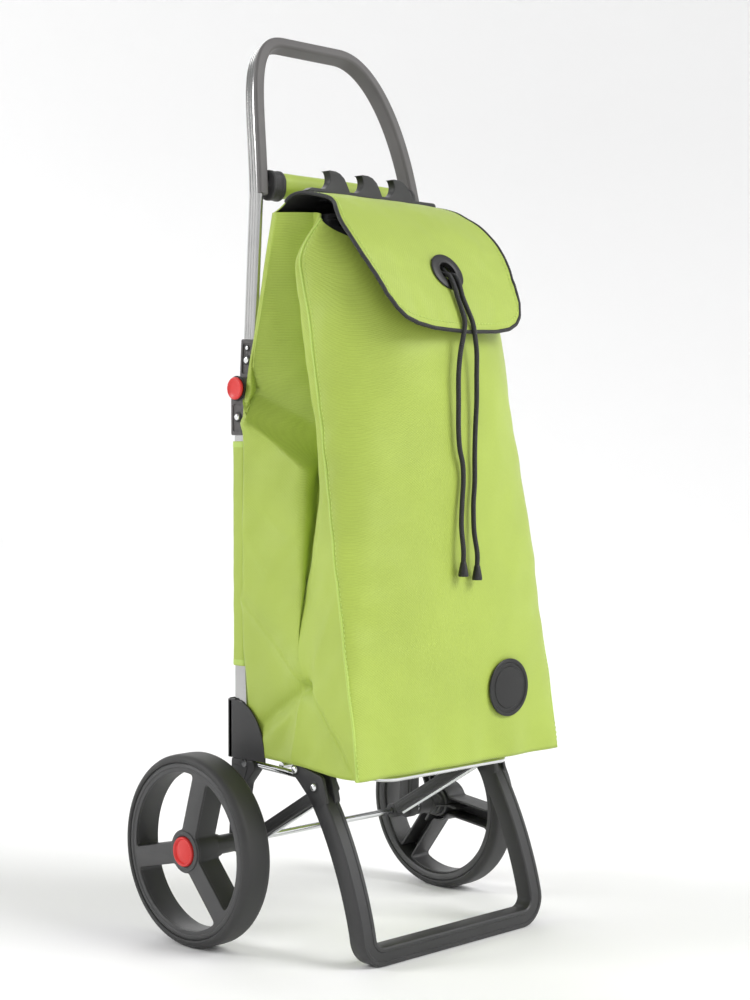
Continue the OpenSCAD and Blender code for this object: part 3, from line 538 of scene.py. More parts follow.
def window(turn, grow=0.0):
    """Opening between the spoke at angle turn and the next one, with rounded corners."""
    half = SPOKE_W / 2 - grow
    r1, r0 = RIM_IN - 3 + grow, 25.0 - grow
    out = math.degrees(math.asin(half / r1))
    inn = math.degrees(math.asin(half / r0))
    outer = arc(r1, turn + out, turn + 120 - out, 28)
    inner = arc(r0, turn + 120 - inn, turn + inn, 10)
    pts = [outer[0]] + outer[2:-2] + [outer[-1]] + [inner[0]] + inner[2:-2] + [inner[-1]]
    radii = [9] + [0] * (len(outer) - 4) + [9] + [7] + [0] * (len(inner) - 4) + [7]
    return rounded(pts, radii, 6)


def wheel(side):
    s = SIDES[side]
    centre, out = P(s * WHEEL_X, 0, WHEEL_Z), (s, 0, 0)

    def at(h):
        return side_plane(s * (WHEEL_X + h), WHEEL_Z)

    w, shoulder = WHEEL_HALF, WHEEL_R - TYRE_ROUND
    tread = [(RIM_R - 0.2, -w + 1.5), (RIM_R + 1.0, -w + 0.2), (shoulder, -w)]
    tread += [(shoulder + TYRE_ROUND * math.cos(a), -w + TYRE_ROUND + TYRE_ROUND * math.sin(a))
              for a in map(math.radians, range(-75, 0, 15))]
    tread += [(WHEEL_R, -w + 10), (WHEEL_R, 0)]
    tread += [(r, -h) for r, h in reversed(tread[:-1])]
    tread.append(tread[0])
    tyre = lathe("tyre_" + side + "_rubber", tread, centre, out, "rubber", 128, 50)
    placed(tyre, "wheel_" + side, "tyre_rubber", "tyre_" + side)
    turns = [SPOKES[side] + 120 * k for k in range(3)]
    parts = [plate("rim_face", [arc(RIM_IN + 3.5, 0, 357, 118)] + [window(t) for t in turns], 4.0,
                   at(15.4), "wheel_plastic", 1.1)]
    parts += [plate("rim_wall", [window(t, 2.6), window(t)], 27.0, at(0.5), "wheel_plastic", 0.5)
              for t in turns]
    barrel = [(RIM_IN - 0.5, -17), (RIM_IN + 2, -18.4), (RIM_R - 1.6, -18.4), (RIM_R - 0.2, -17.2),
              (RIM_R - 0.2, 16.6), (RIM_R - 1.2, 17.6), (RIM_R - 3.2, 18.4), (RIM_IN + 2.5, 18.4),
              (RIM_IN + 1.2, 17.2), (RIM_IN - 0.5, 16), (RIM_IN - 0.5, -17)]
    parts.append(lathe("rim_ring", barrel, centre, out, "wheel_plastic", 128, 30))
    boss = [(6.2, -53), (9.6, -53), (10.9, -52), (11, -31), (13, -30), (13.2, -22), (15.4, -21),
            (16, -14), (18.4, -12.5), (19.2, 15), (21.5, 17.2), (23.6, 17.9), (23, 18.6), (18.6, 19),
            (17.6, 18.4), (17.4, 16), (6.2, 16), (6.2, -53)]
    parts.append(lathe("rim_hub", boss, centre, out, "wheel_plastic", 64, 30))
    rib = rounded([(11, -31), (22, -13), (34, -13), (34, 12), (11, 12)], 2)
    upright = Matrix(((1, 0, 0, 0), (0, 0, 1, 0), (0, s, 0, 0), (0, 0, 0, 1)))
    parts += [plate("hub_rib", [rib], 3.0, at(0) @ Matrix.Rotation(math.radians(t), 4, "Z") @ upright,
                    "wheel_plastic", 0.5) for t in turns]
    placed(join(parts, "wheel_" + side + "_rim_detail"), "wheel_" + side, "charcoal_plastic",
           "wheel_rim_" + side)
    cap = lathe("hub_cap_" + side + "_dome",
                [(0.0001, 21.2), (5, 21.1), (9.5, 20.5), (12.4, 19.5), (13.2, 19.3), (14, 20.4), (15.2, 21.3),
                 (16.3, 21.1), (16.9, 20.1), (17, 18.9), (17, 16.6), (0.0001, 16.6)],
                centre, out, "red_plastic", 72, 24)
    placed(cap, "wheel_" + side, "red_plastic", "hub_cap_" + side)


for each in SIDES:
    wheel(each)


# ------------------------------------------------------------------ foot and struts

ARM_X, FOOT_Y, FOOT_R = 139.5, -206.0, 23.0
PIVOT_B, PIVOT_D = (-107.0, 208.0), (-138.0, 192.0)
FOOT_SECTION = [(-11, -9), (-10.5, -10.5), (-9, -11), (9, -11), (10.5, -10.5), (11, -9), (11, 7.4),
                (10.2, 9.9), (8.6, 11), (5.4, 11), (4.6, 10.0), (-4.6, 10.0), (-5.4, 11), (-8.6, 11),
                (-10.2, 9.9), (-11, 7.4)]


def foot():
    pts = []
    for i in range(19):
        t = 0.12 + 0.88 * i / 18
        pts.append(Vector((ARM_X, bezier(-120, -151, -190, -204, t), bezier(202, 178, 100, 36, t))))
    for k in range(1, 13):
        a = math.radians(-90 * k / 12)
        pts.append(Vector((ARM_X - FOOT_R + FOOT_R * math.cos(a), FOOT_Y + 1.5 * (1 - k / 12),
                           34 + FOOT_R * math.sin(a))))
    pts += [Vector((x, FOOT_Y, 11)) for x in (90, 60, 30)]
    pts += [Vector((-p.x, p.y, p.z)) for p in reversed(pts)]
    rings = []
    for i, p in enumerate(pts):
        t = heading(pts, i)
        front = Vector((0, -1, 0))
        front = (front - t * front.dot(t)).normalized()
        across = front.cross(t)
        rings.append([P(*(p + across * a + front * b)) for a, b in FOOT_SECTION])
    parts = [skin("foot_bar", rings, "charcoal_plastic", 28)]
    outline = rounded([(-100.6, 203.5), (-103.5, 212.6), (-111, 213.8), (-150.5, 205), (-158.2, 176),
                       (-141, 161.5), (-126.8, 180), (-112, 194)], [5, 5, 5, 9, 6, 4, 12, 8])
    parts += [plate("foot_cheek", [outline], thick, side_plane(s * x), "charcoal_plastic", 1.2)
              for s in (-1, 1) for x, thick in ((148.25, 4.5), (132.75, 8.4))]
    placed(join(parts, "foot_frame_moulding"), "foot", "charcoal_plastic", "foot_frame")
    heads = [dome(s * 150.5, y, z, (s, 0, 0), 4.4) for s in (-1, 1) for y, z in (PIVOT_B, PIVOT_D)]
    placed(join(heads, "foot_pin_heads"), "foot", "chrome_steel")


def strut(side):
    where = side_plane(SIDES[side] * 118, WHEEL_Z)
    run = Vector((PIVOT_D[0], PIVOT_D[1] - WHEEL_Z))
    d = run.normalized()
    n = Vector((-d.y, d.x))
    end = d * (run.length - 3)
    web = rounded([d * 8 + n * 7, end + n * 7, end - n * 7, d * 8 - n * 7], [0, 3, 3, 0])
    panel = rounded([d * 14 + n * 3.2, end - d * 8 + n * 3.2, end - d * 8 - n * 3.2, d * 14 - n * 3.2], 2.5)
    eye = [vectors(arc(9, 0, 355, 71)), vectors(arc(4.15, 0, 350, 35))]
    parts = [plate("strut", outlines, thick, where, "charcoal_plastic", bevel)
             for outlines, thick, bevel in (([web], 15, 1.4), ([panel], 16.2, 0.8), (eye, 15, 1.0))]
    placed(join(parts, "strut_" + side + "_bar"), "strut_" + side, "charcoal_plastic", "strut_" + side)


foot()
for each in SIDES:
    strut(each)


# ------------------------------------------------------------------ lower frame

TUBE_Y, LOWER_X, UPPER_X, PIVOT_Z = -5.5, 141.5, 129.0, 637.0
LEAN_ANGLE = math.radians(3.4)       # the upper frame leans forward by this much
LEAN = math.tan(LEAN_ANGLE)


def oval_points(w, d, n=20):
    out = []
    for k in range(2 * n):
        a = 2 * math.pi * (k + 0.5) / (2 * n)
        off = (d - w) / 2
        out.append((w / 2 * math.cos(a), w / 2 * math.sin(a) + (off if math.sin(a) > 0 else -off)))
    return out


def grooved_oval(w, d):
    """Oval tube outline with three shallow lengthwise grooves on each broad side."""
    groove_w, groove_depth, steps, cap_steps = 1.1, 0.75, 44, 16
    past = 1.5           # how far the broad side runs on into the round end
    r, straight = w / 2, (d - w) / 2
    side = []
    for k in range(steps + 1):
        y = -straight - past + (d - w + 2 * past) * k / steps
        near = min(abs(y - c) for c in (-4.5, 0.0, 4.5))
        bulge = max(abs(y) - straight, 0.0)
        groove = groove_depth * math.exp(-(near / groove_w * 1.6) ** 4)
        side.append((math.sqrt(max(r ** 2 - bulge ** 2, 0.0)) - groove, y))
    a0 = math.asin(past / r)
    angles = [a0 + (math.pi - 2 * a0) * k / cap_steps for k in range(1, cap_steps)]
    half = side + [(r * math.cos(a), straight + r * math.sin(a)) for a in angles]
    return half + [(-x, -y) for x, y in half]


def column(name, w, d, x, levels, mat, wobble=0.0):
    """Oval post on the tube's line, its outline a little uneven by wobble."""
    rings = []
    for z in levels:
        ring = []
        for px, py in oval_points(w, d):
            k = 1 + wobble * uneven(x * 0.05, z * 0.05, py * 0.08)
            ring.append(P(x + px * k, TUBE_Y + py * k, z))
        rings.append(ring)
    return skin(name, rings, mat, 40)


def lower_frame(side):
    x = SIDES[side] * LOWER_X
    tube = column("lower_tube_" + side + "_oval", 9, 20, x, (214, 300, 400, 500, 600, 616), "aluminium")
    placed(tube, "frame", "tube_aluminium", "lower_tube_" + side)
    levels = [316 + 260 * k / 52 for k in range(53)]
    sewn = [column("tube_sleeve_" + side, 12.4, 23.4, x, levels, "green_fabric", 0.05)]
    sewn += [column("sleeve_hem", 13.2, 24.2, x, (z, z + 1, z + 5, z + 6), "green_edge") for z in (317, 569)]
    placed(join(sewn, "tube_sleeve_" + side + "_sewn"), "frame", "green_fabric", "tube_sleeve_" + side)


for each in SIDES:
    lower_frame(each)


def eye_outline(half, z_end):
    """Rounded bar that ends in a round eye at the pivot; z_end is its other end, above or below."""
    r, steps = 13.5, 24
    a0 = math.degrees(math.acos(half / r))
    pts = arc(r, a0, -180 - a0, steps) if z_end > PIVOT_Z else arc(r, -a0, 180 + a0, steps)
    out = [Vector((TUBE_Y + u, PIVOT_Z + v)) for u, v in pts]
    ends = vectors([(TUBE_Y - half, z_end), (TUBE_Y + half, z_end)])
    return out + rounded([out[-1], *ends, out[0]], [0, 2.5, 2.5, 0])


def knuckle_half(z_end, recess, base, frame, turn=Matrix.Identity(4)):
    """Plate with an eye, and a thin raised frame on it round a recess; base and frame are (x, thickness)."""
    eye = eye_outline(11.5, z_end)
    hole = rounded(box(TUBE_Y - 8.2, recess[0], TUBE_Y + 8.2, recess[1]), 3)
    return [plate("knuckle", outlines, thick, turn @ side_plane(x), "grey_plastic", bevel)
            for outlines, (x, thick), bevel in (([eye], base, 0.8), ([eye, hole], frame, 0.5))]


def knuckle(side):
    s = SIDES[side]
    parts = knuckle_half(583, (587, 619), (s * 141.05, 11.3), (s * 147.0, 1.6))
    parts.append(column("knuckle_lip", 13.6, 24.0, s * LOWER_X, (583, 584, 586.5, 587.5), "grey_plastic"))
    placed(join(parts, "knuckle_lower_" + side + "_cast"), "frame", "grey_plastic", "knuckle_lower_" + side)
    lean = (Matrix.Translation((0, (TUBE_Y + AXLE) * MM, PIVOT_Z * MM)) @ Matrix.Rotation(LEAN_ANGLE, 4, "X")
            @ Matrix.Translation((0, -(TUBE_Y + AXLE) * MM, -PIVOT_Z * MM)))
    parts = knuckle_half(694, (654, 689), (s * 128.4, 10.4), (s * 134.1, 1.8), lean)
    placed(join(parts, "knuckle_upper_" + side + "_cast"), "upper_frame", "grey_plastic",
           "knuckle_upper_" + side)


for each in SIDES:
    knuckle(each)


def rivets_and_buttons():
    low = [dome(s * 147.4, TUBE_Y, 604, (s, 0, 0), 4.2) for s in (-1, 1)]
    placed(join(low, "knuckle_rivets_lower_heads"), "frame", "chrome_steel", "knuckle_rivets_lower")
    up = [dome(s * x, TUBE_Y + 1 - LEAN * (z - PIVOT_Z), z, (s * way, 0, 0), r, flat=True)
          for s in (-1, 1) for z, r in ((670, 4.0), (684, 2.4)) for x, way in ((134.9, 1), (123.0, -1))]
    placed(join(up, "knuckle_rivets_upper_heads"), "upper_frame", "chrome_steel", "knuckle_rivets_upper")
    button = [(0.0001, -3.4), (6, -3.4), (6, 0), (12.4, 0), (13, 0.8), (13, 2.4), (12.2, 3.3), (11, 3.5),
              (10, 3.0), (8.6, 2.3), (5, 1.9), (0.0001, 1.8)]
    surround = [(6.4, 0), (14.2, 0), (14.6, 0.8), (14.4, 2.0), (13.4, 2.2), (13.3, 0.6), (6.4, 0.6),
                (6.4, 0)]
    for side, s in SIDES.items():
        cap = lathe("fold_button_" + side + "_cap", button, P(s * 149.8, TUBE_Y, PIVOT_Z), (s, 0, 0),
                    "red_plastic", 64, 28)
        placed(cap, "button_" + side, "red_plastic", "fold_button_" + side)
        ring = lathe("button_surround_" + side, surround, P(s * 147.4, TUBE_Y, PIVOT_Z), (s, 0, 0),
                     "black_plastic")
        placed(ring, "frame", "black_plastic")


rivets_and_buttons()


def apron():
    wall, x, back, z0, z1 = 2.6, 149.5, 12.5, 208.5, 276.0
    front, top, r = -53.0, -2.0, 5.0
    outline = vectors([(back - 2.6, z0), (back - 2.6, z1 - 1)])
    outline += [Vector((top - (top - front) * math.cos(a), z0 + (z1 - z0) * math.sin(a)))
                for a in map(math.radians, range(90, -1, -5))]
    parts = [plate("apron_wing", [outline], wall, side_plane(s * (x - wall / 2)), "charcoal_plastic", 0.6)
             for s in (-1, 1)]
    outer = rounded([(-x, back - 8), (-x, back), (x, back), (x, back - 8)], [0, r, r, 0], 6)
    inner = rounded([(x - wall, back - 8), (x - wall, back - wall), (-x + wall, back - wall),
                     (-x + wall, back - 8)], [0, r - 2, r - 2, 0], 6)
    rings = [[P(p.x, p.y, z) for p in outer + inner] for z in (z0, z0 + 1, 240, z1 - 5, z1 - 1.2, z1)]
    parts.append(skin("apron_back", rings, "charcoal_plastic", 30))
    lip = [(-x + 1.3, -2, z1), (-x + 1.3, back - 4, z1), (-x + 4.5, back - 1.3, z1),
           (x - 4.5, back - 1.3, z1), (x - 1.3, back - 4, z1), (x - 1.3, -2, z1)]
    parts.append(rope_tube("apron_lip", [P(*q) for q in lip], 1.5, "charcoal_plastic"))
    rib = [rounded([(-56, z0 + 6), (56, z0 + 6), (50, z1 - 14), (-50, z1 - 14)], 8),
           rounded([(-53, z0 + 9), (53, z0 + 9), (47, z1 - 17), (-47, z1 - 17)], 6)]
    parts.append(plate("apron_rib", rib, 1.6, front_plane(back - 0.6), "charcoal_plastic", 0.4))
    placed(join(parts, "apron_shell"), "frame", "charcoal_plastic", "apron")


apron()


def rear_leg(side):
    x = SIDES[side] * LOWER_X
    web = rounded([(6, 208), (-31, 208), (-36, 199), (-19, 180), (-12.5, 150), (-11.8, 108), (11.8, 108),
                   (9, 150)], [2, 3, 5, 10, 20, 0, 0, 20])
    inset = rounded([(2, 201), (-24, 201), (-14, 178), (-8, 150), (-7, 126), (5, 126), (4, 150)],
                    [2, 3, 6, 12, 3, 3, 12])
    eye = [vectors(arc(12, 0, 355, 71)), arc(4.0, 0, 345, 23)]
    parts = [plate("leg_web", [web], 14, side_plane(x), "charcoal_plastic", 1.2),
             plate("leg_eye", eye, 14, side_plane(x, WHEEL_Z), "charcoal_plastic", 1.0),
             column("leg_plug", 6, 17, x, (206, 214, 238), "charcoal_plastic"),
             plate("leg_panel", [inset], 15.6, side_plane(x), "charcoal_plastic", 0.7)]
    placed(join(parts, "rear_leg_" + side + "_cast"), "frame", "charcoal_plastic", "rear_leg_" + side)


for each in SIDES:
    rear_leg(each)


# ------------------------------------------------------------------ handle

TOP_Z, ARCH_Z = 1051.0, 860.0
ARCH_BACK, ARCH_CURL = 0.13, 0.0008  # backward slope where the arch starts, and its growth per mm


def line_y(z):
    if z < ARCH_Z:
        return TUBE_Y + 1 - LEAN * (z - PIVOT_Z)
    h = z - ARCH_Z
    return TUBE_Y + 1 - LEAN * (ARCH_Z - PIVOT_Z) + ARCH_BACK * h + ARCH_CURL * h * h


def tilt(z):
    return -LEAN_ANGLE if z < ARCH_Z else math.atan(ARCH_BACK + 2 * ARCH_CURL * (z - ARCH_Z))


def arch_rings(points, section):
    rings = []
    for i, p in enumerate(points):
        a = tilt(p.z)
        w = Vector((0, math.cos(a), -math.sin(a)))
        n = w.cross(heading(points, i)).normalized()
        rings.append([P(*(p + n * q[0] + w * q[1])) for q in section])
    return rings


def arch_points(with_leg):
    xz = [(UPPER_X, z) for z in (656, 700, 740, 780, 810, 835, 850)] if with_leg else []
    xz += [(bezier(UPPER_X, UPPER_X - 9, 108, 46, k / 40), bezier(ARCH_Z, ARCH_Z + 98, TOP_Z, TOP_Z, k / 40))
           for k in range(41)]
    xz += [(26, TOP_Z), (12, TOP_Z)]
    half = [Vector((x, line_y(z), z)) for x, z in xz]
    return half + [Vector((-p.x, p.y, p.z)) for p in reversed(half)]


def handle():
    tube = skin("handle_tube_arch", arch_rings(arch_points(True), grooved_oval(9, 20)), "aluminium", 30)
    placed(tube, "upper_frame", "tube_aluminium", "handle_tube")
    grip = rounded([(4.6, -7), (4.6, -11), (2.6, -13), (-6.5, -13), (-9, -10.5), (-9, 5.5), (-6.6, 8),
                    (-4.7, 8), (-4.7, -6.5), (-3.4, -9), (0, -10.3), (3.4, -9)],
                   [0.6, 1.6, 2.5, 3.5, 3.5, 3.5, 2, 0.5, 2, 1, 2, 1], 4)
    soft = skin("handle_grip_soft", arch_rings(arch_points(False), grip), "grip_foam", 40)
    placed(soft, "upper_frame", "grip_foam", "handle_grip")


handle()

BAND_Y, BAR_Z, BAND_HALF = -22.5, 873.0, 98


def band_and_straps():
    rings = []
    for x in range(-BAND_HALF, BAND_HALF + 1, 2):
        ring = []
        for py, pz in oval_points(27, 30, 18):
            ease = 1.0 - 0.035 * (1 - smooth(0, 8, BAND_HALF - abs(x)))
            dent = 0.5 * uneven(x * 0.05, py * 0.12, pz * 0.12)
            dent += 0.3 * uneven(x * 0.16, py * 0.3, 7.0)
            f = ease * (1 + dent * 0.035)
            ring.append(P(x, BAND_Y + py * f, BAR_Z + pz * f))
        rings.append(ring)
    band = skin("crossbar_band_cloth", rings, "green_fabric", 60)
    placed(band, "upper_frame", "green_fabric", "crossbar_band")
    parts = []
    for s in (-1, 1):
        for x0, x1, w, d in ((98.6, 116.8, 27.4, 34.4), (99.4, 103.6, 28.4, 35.4), (111.6, 116, 28.4, 35.4)):
            rings = [[P(s * x, BAND_Y + py * f, BAR_Z - 1 + pz * f) for py, pz in oval_points(w, d, 16)]
                     for x, f in ((x0, 0.965), (x0 + 0.6, 1), (x1 - 0.6, 1), (x1, 0.965))]
            parts.append(skin("strap", rings, "webbing", 40))
    placed(join(parts, "crossbar_straps_webbing"), "upper_frame", "black_fabric", "crossbar_straps")


band_and_straps()


def hook_rail():
    rail_y, low, high = -73.0, 857.0, 866.0
    outline = vectors([(-104, 862.5), (-97, high)])
    for x in (-68, -15, 37):
        outline += [Vector((x - 13 + u, 878.5 + v)) for u, v in arc(12.5, -90, 40, 12)]
        outline += vectors([(x - 6.5, 887.0), (x - 1, 888.2), (x + 8, 888.0), (x + 15, 886.0), (x + 22, 881),
                            (x + 27, 873.5), (x + 31, high)])
    outline += [Vector((104 + u, 861.5 + v)) for u, v in arc(4.5, 90, -90, 8)]
    outline += vectors([(-74, low), (-99, 860.2)])
    face = front_plane(rail_y)
    lip = [rounded(box(-96, 859.4, 104, 863.6), 1.8), rounded(box(-94, 860.6, 102.6, 862.4), 0.8)]
    tongue = [[P(x, rail_y + y, z) for x, z in box(-70, 853.9, 70, 857.4)] for y in (0.5, 58.0)]
    parts = [plate("hooks", [outline], 11, face, "charcoal_plastic", 1.0),
             plate("hook_lip", lip, 12.0, face, "charcoal_plastic", 0.3),
             skin("hook_plate", tongue, "charcoal_plastic", 30)]
    placed(join(parts, "hook_rail_fins"), "upper_frame", "charcoal_plastic", "hook_rail")


hook_rail()


# ------------------------------------------------------------------ bag

BAG_Z0, BAG_TOP = 214.0, 838.0


def table(rows):
    """Smooth curve through (height, x, y) rows, level below the first and straight on above the last."""
    def value(z):
        if z <= rows[0][0]:
            return Vector(rows[0][1:])
        if z >= rows[-1][0]:
            a, b = Vector(rows[-2]), Vector(rows[-1])
            return (b + (b - a) * ((z - b.x) / (b.x - a.x))).yz
        i = next(k for k in range(len(rows) - 1) if z <= rows[k + 1][0])
        a, b = rows[i], rows[i + 1]
        before, after = rows[max(i - 1, 0)], rows[min(i + 2, len(rows) - 1)]
        span = b[0] - a[0]
        t = (z - a[0]) / span
        out = []
        for k in (1, 2):
            ma = (b[k] - before[k]) / (b[0] - before[0]) * span
            mb = (after[k] - a[k]) / (after[0] - a[0]) * span
            out.append((2 * t ** 3 - 3 * t ** 2 + 1) * a[k] + (t ** 3 - 2 * t ** 2 + t) * ma
                       + (3 * t ** 2 - 2 * t ** 3) * b[k] + (t ** 3 - t ** 2) * mb)
        return Vector(out)
    return value


REAR = table([(214, 145.5, -19), (276, 145.5, -19), (300, 149, -20), (350, 151, -17), (576, 151, -17),
    (620, 150, -18), (720, 138, -27), (840, 124, -39)])
KNEE = table([(214, 151, -80), (300, 152.5, -100), (350, 149, -102), (450, 141.5, -100), (530, 134, -98),
    (547, 131, -94), (570, 134.5, -62), (596, 143, -32), (650, 139, -33), (750, 128, -42), (838, 117, -52)])
VALLEY = table([(214, 155, -118), (307, 153.5, -124), (350, 147.5, -108), (400, 135, -106),
    (450, 122, -104), (530, 105, -100), (600, 92, -85), (700, 88, -80), (838, 92, -75)])
LOBE = table([(214, 160.5, -160), (307, 159.5, -160), (380, 156.5, -152), (450, 153.5, -145),
    (531, 149, -143), (611, 144, -126), (686, 139, -110), (750, 136, -96), (775, 136, -94), (800, 128, -97),
    (825, 112, -103)])
SEAM = table([(214, 166, -223), (300, 165.5, -209.5), (380, 163, -194), (450, 160, -181), (531, 155, -163),
    (600, 150, -148), (700, 143.5, -125), (755, 140.5, -109), (778, 140, -104), (800, 133, -107),
    (825, 116, -114)])
FRONT_A = table([(214, 162, -224), (300, 161, -219), (450, 158, -205), (600, 148, -180), (700, 140, -170),
    (785, 128, -150), (825, 120, -120)])
FRONT_B = table([(214, 100, -226), (300, 108, -228), (450, 110, -225), (600, 95, -222), (700, 85, -216.5),
    (760, 80, -188), (785, 75, -169), (825, 70, -136)])
FRONT_C = table([(211, 0, -224), (300, 0, -226), (440, 0, -225), (540, 0, -223), (655, 0, -221),
    (710, 0, -215), (740, 0, -202), (760, 0, -189), (785, 0, -168.5), (825, 0, -135)])
# Each crease runs from one (y, z) to another, with its outward push and its width.
CREASES = [((-122, 309), (-8, 404), 8.0, 12), ((-128, 304), (-43, 252), -11.0, 11),
    ((-100, 268), (-52, 236), 4.5, 14), ((-128, 304), (-214, 214), -9.5, 10),
    ((-146, 300), (-205, 236), 5.0, 12), ((-122, 290), (-108, 222), 5.0, 11),
    ((-24, 597), (-97, 546), 11.0, 14), ((-26, 636), (-90, 588), -15.0, 30),
    ((-60, 420), (-22, 470), 3.0, 18), ((-36, 500), (-80, 470), -3.5, 18),
    ((-150, 330), (-178, 392), 3.0, 12)]
# Columns of the half outline: back, rear corner to knee, to valley, to lobe, to seam, and front.
COLUMNS = 10, 20, 18, 18, 12, 30


def half_section(z):
    """Right half of the bag's outline at one height, from the middle of the back round to the front's."""
    r, k, v, c, f = (g(z) for g in (REAR, KNEE, VALLEY, LOBE, SEAM))
    back = Vector((0, r.y + 1.0))
    pts = [back.lerp(Vector((r.x - 4, r.y + 1.2)), i / COLUMNS[0]) for i in range(COLUMNS[0])]
    pts.append(Vector((r.x - 1.4, r.y + 0.2)))
    start = r + Vector((0, -3))
    spans = ((start + Vector((2, 30)), start, k, v), (start, k, v, v + (v - k) * 0.2),
             (v - (c - v) * 0.2, v, c, f), (v, c, f, f + (f - c) * 0.6))
    for count, span in zip(COLUMNS[1:5], spans):
        pts += [catmull(*span, i / count) for i in range(count)]
    front, last = (FRONT_A(z), FRONT_B(z), FRONT_C(z)), COLUMNS[5]
    return pts + [bezier(f, *front, i / last) for i in range(last + 1)]


HALF = len(half_section(300))
SEAM_COLUMN = sum(COLUMNS[:5]) + 1


def column_top(j):
    """Height of the rim for one column: level round the back, falling to the front's middle."""
    first_lobe = sum(COLUMNS[:3]) + 1
    if j <= first_lobe:
        return BAG_TOP
    if j <= SEAM_COLUMN:
        return BAG_TOP - 13 * smooth(first_lobe, SEAM_COLUMN, j)
    return 785 + 40 * (1 - smooth(SEAM_COLUMN, HALF - 1, j) ** 0.8)


def wrinkle(p, j, z):
    """Outward push of the cloth at one point: creases, ripples and soft folds."""
    push = 0.0
    side_part = COLUMNS[0] < j <= SEAM_COLUMN - 2
    if side_part:
        for a, b, amount, width in CREASES:
            d = Vector(b) - Vector(a)
            q = Vector((p.y - a[0], z - a[1]))
            t = min(max(q.dot(d) / d.length_squared, 0), 1)
            push += amount * math.exp(-1.3 * (q - d * t).length / width) * (1 - 0.35 * t)
    calm = smooth(0, 12, z - BAG_Z0)
    push += 2.2 * calm * uneven(p.x * 0.012, p.y * 0.016, z * 0.011)
    push += 0.9 * calm * uneven(p.x * 0.035 + 4, p.y * 0.05, z * 0.03)
    diagonal = uneven((p.y + 0.7 * z) * 0.045, p.x * 0.01, (z - 0.7 * p.y) * 0.008)
    push += (1.3 if side_part else 0.7) * calm * diagonal
    if j > SEAM_COLUMN:
        near = math.exp(-((p.x - 150) / 22) ** 2)
        push += near * 0.5 * math.sin(z * 0.115 + 1.4 * math.sin(z * 0.031)) * calm
        low = math.exp(-((z - 232) / 26) ** 2)
        push += low * 2.4 * math.sin(p.x * 0.085 + 0.9)
    return push


LINING_GAP = 20.0    # room between the deepest fold and the lining


def lining_section(z, outer, deep):
    """Half outline of the lining at one height: a plain tube behind the folds, deep 1, or just under the
    cloth, deep 0."""
    half_w = VALLEY(z).x - LINING_GAP
    rear, seam = REAR(z), SEAM(z)
    out = []
    for j, p in enumerate(outer):
        if j <= COLUMNS[0]:
            tube, near = (p.x * half_w / rear.x, p.y - 5), (p.x * 0.985, p.y - 1.6)
        elif j < SEAM_COLUMN:
            tube, near = (half_w, min(p.y, rear.y - 5)), (p.x - 3.2, p.y)
        else:
            tube, near = (p.x * half_w / seam.x, p.y + 8), (p.x * 0.975, p.y + 1.8)
        out.append(Vector(near).lerp(Vector(tube), deep))
    return out


def bag_point(j, z):
    sec = half_section(z)
    p = sec[j]
    if j == 0:
        return p
    t = sec[min(j + 1, HALF - 1)] - sec[j - 1]
    if t.length < 1e-6:
        t = Vector((1, 0))
    n = Vector((0, -1)) if j == HALF - 1 else Vector((-t.y, t.x)).normalized()
    return p + n * wrinkle(p, j, z)


def ring_at(heights):
    right = [bag_point(j, z).to_3d() + Vector((0, 0, z)) for j, z in enumerate(heights)]
    right[0].x = 0.0
    right[-1].x = 0.0
    left = []
    for q in reversed(right[1:-1]):
        shift = 0.9 * uneven(q.y * 0.02, q.z * 0.017, 9.0)
        left.append(Vector((-q.x - shift, q.y, q.z)))
    return right + left


def lining_ring(ring, sec, deep):
    """The lining's half outline for one ring, whose columns may stand at different heights."""
    level = {}
    out = []
    for j in range(len(sec)):
        z = round(ring[j].z, 3)
        if z not in level:
            level[z] = lining_section(z, sec, deep)
        out.append(level[z][j])
    return out


FLOOR_MID, MOUTH_MID = -120, -95     # the middle of the bag's floor and of its mouth, y
SPLIT_Z = 637        # the cloth is split here, level with the fold pivots
LOWER_ROWS, UPPER_ROWS = 94, 46
FADE_ROWS = 8        # rows over which the lining comes up to the cloth below the rim


def bag_rows():
    """The bag's rings: those of its floor, from the middle out, then those of its wall, up to the rim."""
    rings = [ring_at([BAG_Z0 + (SPLIT_Z - BAG_Z0) * k / LOWER_ROWS] * HALF) for k in range(LOWER_ROWS + 1)]
    rings += [ring_at([SPLIT_Z + (column_top(j) - SPLIT_Z) * (k / UPPER_ROWS) for j in range(HALF)])
              for k in range(1, UPPER_ROWS + 1)]
    floor = [[Vector((p.x * f, (p.y - FLOOR_MID) * f + FLOOR_MID, BAG_Z0 - 0.5 - 1.5 * (1 - f)))
              for p in rings[0]] for f in (0.2, 0.55, 0.85, 0.965)]
    for p in (p for ring in rings[:14] for p in ring):
        p.z -= 4.0 * smooth(-110, -200, p.y) * (1 - smooth(BAG_Z0, BAG_Z0 + 50, p.z))
    for p in (p for ring in floor for p in ring):
        p.z -= 3.5 * smooth(-150, -205, p.y)
    return floor, rings


def bag_lining(rows, floor_rows):
    """One lining point for each point of the cloth."""
    lined = []
    for row, r in enumerate(rows):
        top = len(rows) - 1
        deep = smooth(top, top - FADE_ROWS, row)
        sec = [Vector((p.x, p.y)) for p in r[:HALF]]
        if row < floor_rows:
            inner = [Vector((p.x * 0.97, (p.y + 100) * 0.97 - 100)) for p in sec]
        else:
            inner = lining_ring(r, sec, deep)
        lift = 2.0 if row <= floor_rows else 0.0
        around = [(j, 1) for j in range(HALF)] + [(j, -1) for j in range(HALF - 2, 0, -1)]
        lined += [P(s * inner[j].x, inner[j].y, r[j].z + lift) for j, s in around]
    return lined


